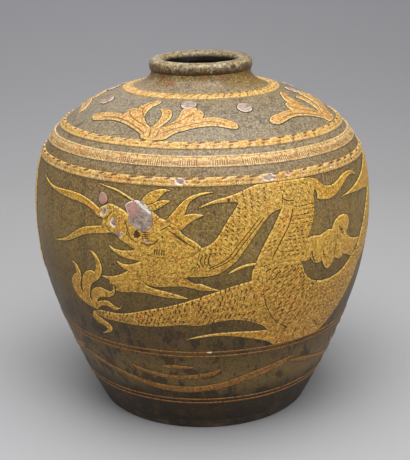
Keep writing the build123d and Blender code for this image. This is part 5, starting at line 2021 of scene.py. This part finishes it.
@dataclass
class Studio:
    """The plain room: a sheet of paper, soft lights and the camera. Sizes are in metres."""

    paper: Finish = PalePaper()
    sheet_size: Point = (8.0, 5.0)
    sheet_shift: float = -0.7
    sheet_height: float = 3.0
    bend: float = 0.8
    bend_segments: int = 16
    fold_behind: float = 1.0
    fold_below: float = 0.1
    lights: tuple[SoftLight, ...] = (
        SoftLight("softbox_overhead", (0.02, -0.4, 1.75), 1.3, 29.5, 0.25),
        SoftLight("fill_right", (1.3, -1.6, 1.0), 1.0, 11.0, 0.2),
        SoftLight("fill_left", (-1.5, -1.3, 0.9), 1.0, 3.5, 0.2),
        SoftLight("fill_back", (-0.5, 1.5, 1.2), 1.0, 3.0, 0.25),
    )
    sky: float = 0.52
    camera_place: Place = (0.0026, -1.1672, 0.5646)
    camera_pitch: float = 17.24
    camera_roll: float = -0.7
    lens: float = 77.42
    sensor: float = 36.0
    clip_start: float = 0.05

    def build(self) -> None:
        """Sets the room up."""
        self._backdrop()
        for light in self.lights:
            light.build()
        self._air()
        self._camera()

    def _air(self) -> None:
        """The even light of the room, and plain screen colours."""
        world = bpy.data.worlds.new("studio_air")
        bpy.context.scene.world = world
        world.use_nodes = True
        background = world.node_tree.nodes["Background"]
        background.inputs["Color"].default_value = (1, 1, 1, 1)
        background.inputs["Strength"].default_value = self.sky
        bpy.context.scene.view_settings.view_transform = "Standard"

    def _select_fold(self, sheet: Piece) -> None:
        """Selects the sheet's edge where the floor turns up the wall."""
        for edge in sheet.data.edges:
            ends = [sheet.data.vertices[corner].co for corner in edge.vertices]
            edge.select = all(end.y > self.fold_behind and end.z < self.fold_below for end in ends)

    def _backdrop(self) -> None:
        """A sheet of paper that runs from the floor up the wall."""
        bpy.ops.mesh.primitive_plane_add(size=1, location=(0, 0, 0))
        sheet = bpy.context.active_object
        sheet.name = "paper_sweep"
        with editing(sheet):
            bpy.ops.transform.resize(value=(*self.sheet_size, 1))
            bpy.ops.transform.translate(value=(0, self.sheet_shift, 0))
            bpy.ops.mesh.select_mode(type="EDGE")
            bpy.ops.mesh.select_all(action="DESELECT")
        self._select_fold(sheet)
        bpy.ops.object.mode_set(mode="EDIT")
        rise = {"value": (0, 0, self.sheet_height)}
        bpy.ops.mesh.extrude_region_move(TRANSFORM_OT_translate=rise)
        bpy.ops.object.mode_set(mode="OBJECT")
        self._select_fold(sheet)
        bpy.ops.object.mode_set(mode="EDIT")
        bpy.ops.mesh.bevel(offset=self.bend, segments=self.bend_segments, affect="EDGES")
        bpy.ops.object.mode_set(mode="OBJECT")
        only(sheet)
        bpy.ops.object.shade_smooth()
        sheet.data.materials.append(self.paper.make())

    def _camera(self) -> None:
        """The camera, at the photograph's height and pitch."""
        bpy.ops.object.camera_add(location=self.camera_place)
        camera = bpy.context.active_object
        camera.rotation_euler = (math.radians(90 - self.camera_pitch), 0, 0)
        camera.rotation_euler.rotate_axis("Z", math.radians(self.camera_roll))
        camera.data.lens = self.lens
        camera.data.sensor_width = self.sensor
        camera.data.clip_start = self.clip_start
        bpy.context.scene.camera = camera


@dataclass
class Walls:
    """The jar's clay, from the foot to the lip."""

    wall: JarWall
    glaze: Material
    lip: Material
    clay: Material
    foot: float = 8.0
    lower_seam: float = 125.4
    belly_seam: float = 326.6
    neck_seam: float = 454.3

    def build(self) -> None:
        """Builds the slab, the three thrown parts, the neck and the rim."""
        FootSlab(self.wall, self.clay).build()
        seams = (self.foot, self.lower_seam, self.belly_seam, self.neck_seam)
        for node, low, high in zip(("lower_wall", "belly_wall", "shoulder_wall"), seams, seams[1:]):
            Wall(self.wall, node, low, high, self.glaze, "olive_glaze").build()
        Collar(self.wall, self.glaze, self.neck_seam).build()
        RolledRim(self.wall, self.lip).build()


@dataclass
class Bands:
    """The cords, the fret and the trailed lines round the jar."""

    wall: JarWall
    cord: Material
    fret: Material
    rust: Material
    cord_rise: float = 2.15
    cord_steps: int = 840
    chips: tuple[Spot, ...] = (
        Spot(-6.8, 60, 5.5, 4.0, sink=0.9, bare=1.0, crust=1.0),
        Spot(21.8, 55, 7.0, 3.6, sink=0.9, bare=1.0, crust=1.0),
        Spot(28.6, 70, 2.6, 2.4, sink=0.6, bare=0.7, crust=1.0),
        Spot(47, 60, 3.0, 3.0, sink=0.6, bare=0.7, crust=1.0),
    )
    flecks: tuple[Spot, ...] = (
        Spot(1.8, 70, 3.2, 1.2, chalk=0.8), Spot(50, 60, 2.4, 0.9, chalk=0.5),
        Spot(55.5, 60, 3.2, 0.9, chalk=0.5),
    )

    def build(self) -> None:
        """Builds the bands, cords first."""
        cord = (self.cord_rise, self.cord, "ochre_slip", self.cord_steps)
        Rope(self.wall, "belly_cord", 326.6, 9.5, *cord, 18, self.chips).build()
        Rope(self.wall, "shoulder_cord", 367.7, 9.4, *cord, 18, strands=58).build()
        Rope(self.wall, "neck_cord", 454.3, 13.0, *cord, 20, strands=60, border=0.2,
             rising=0.9, lens_half=0.26).build()
        Fret(self.wall, "fret_band", 348.7, 13.0, 1.75, self.fret, "ochre_slip", 1440, 26).build()
        line = (8.2, 0.9, self.rust, "rust_slip")
        Lines(self.wall, "field_lines", 125.4, *line, 720, 9, self.flecks).build()
        Lines(self.wall, "foot_lines", 50.06, *line, 360, 9).build()


def main() -> None:
    """Builds the jar's looks around the frame."""
    logging.basicConfig(level=logging.INFO, format="%(name)s: %(message)s")
    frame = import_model()
    wall = JarWall(frame["nodes"])
    LOG.info("wall: %.2f mm from the foot to the neck", wall.top)
    gold = OchreSlip(dull_top=0.34).make()
    leaf = OchreSlip("flame_slip", core=(196, 138, 40), core_share=0.5, crest_share=0.6,
                     crest_width=0.8, dull_top=0.2).make()
    spray = OchreSlip("spray_slip", high=(204, 163, 92), low=(204, 163, 92), core=(190, 140, 70),
                      core_share=0.6, crest=(232, 204, 142), crest_share=0.7, crest_width=1.0,
                      cut_colour=(122, 76, 36), contour=2.9, worn=0.3).make()
    cord = OchreSlip("cord_slip", high=(204, 164, 86), low=(202, 158, 76), crest=(234, 206, 148),
                     crest_share=0.45, cut_colour=(104, 58, 32), worn=0.5, contrast=0.9).make()
    fret = OchreSlip("fret_slip", high=(212, 176, 116), low=(210, 172, 110), crest=(232, 208, 158),
                     cut_colour=(104, 66, 30), worn=0.35, contrast=0.95).make()
    rust = OchreSlip("rust_slip", high=(128, 84, 30), low=(120, 79, 28), crest=(160, 116, 50),
                     crest_share=0.7, crest_width=0.6, cut_colour=(112, 50, 16)).make()
    broken = OchreSlip("broken_clay").make()

    Walls(wall, OliveGlaze().make(), RimGlaze().make(), RawClay().make()).build()
    Bands(wall, cord, fret, rust).build()
    WaveRing(wall, rust).build()
    ShoulderFigures(wall, spray, broken).build()
    Dragons(wall, gold, leaf, broken).build()
    Studio().build()


if __name__ == "__main__":
    main()
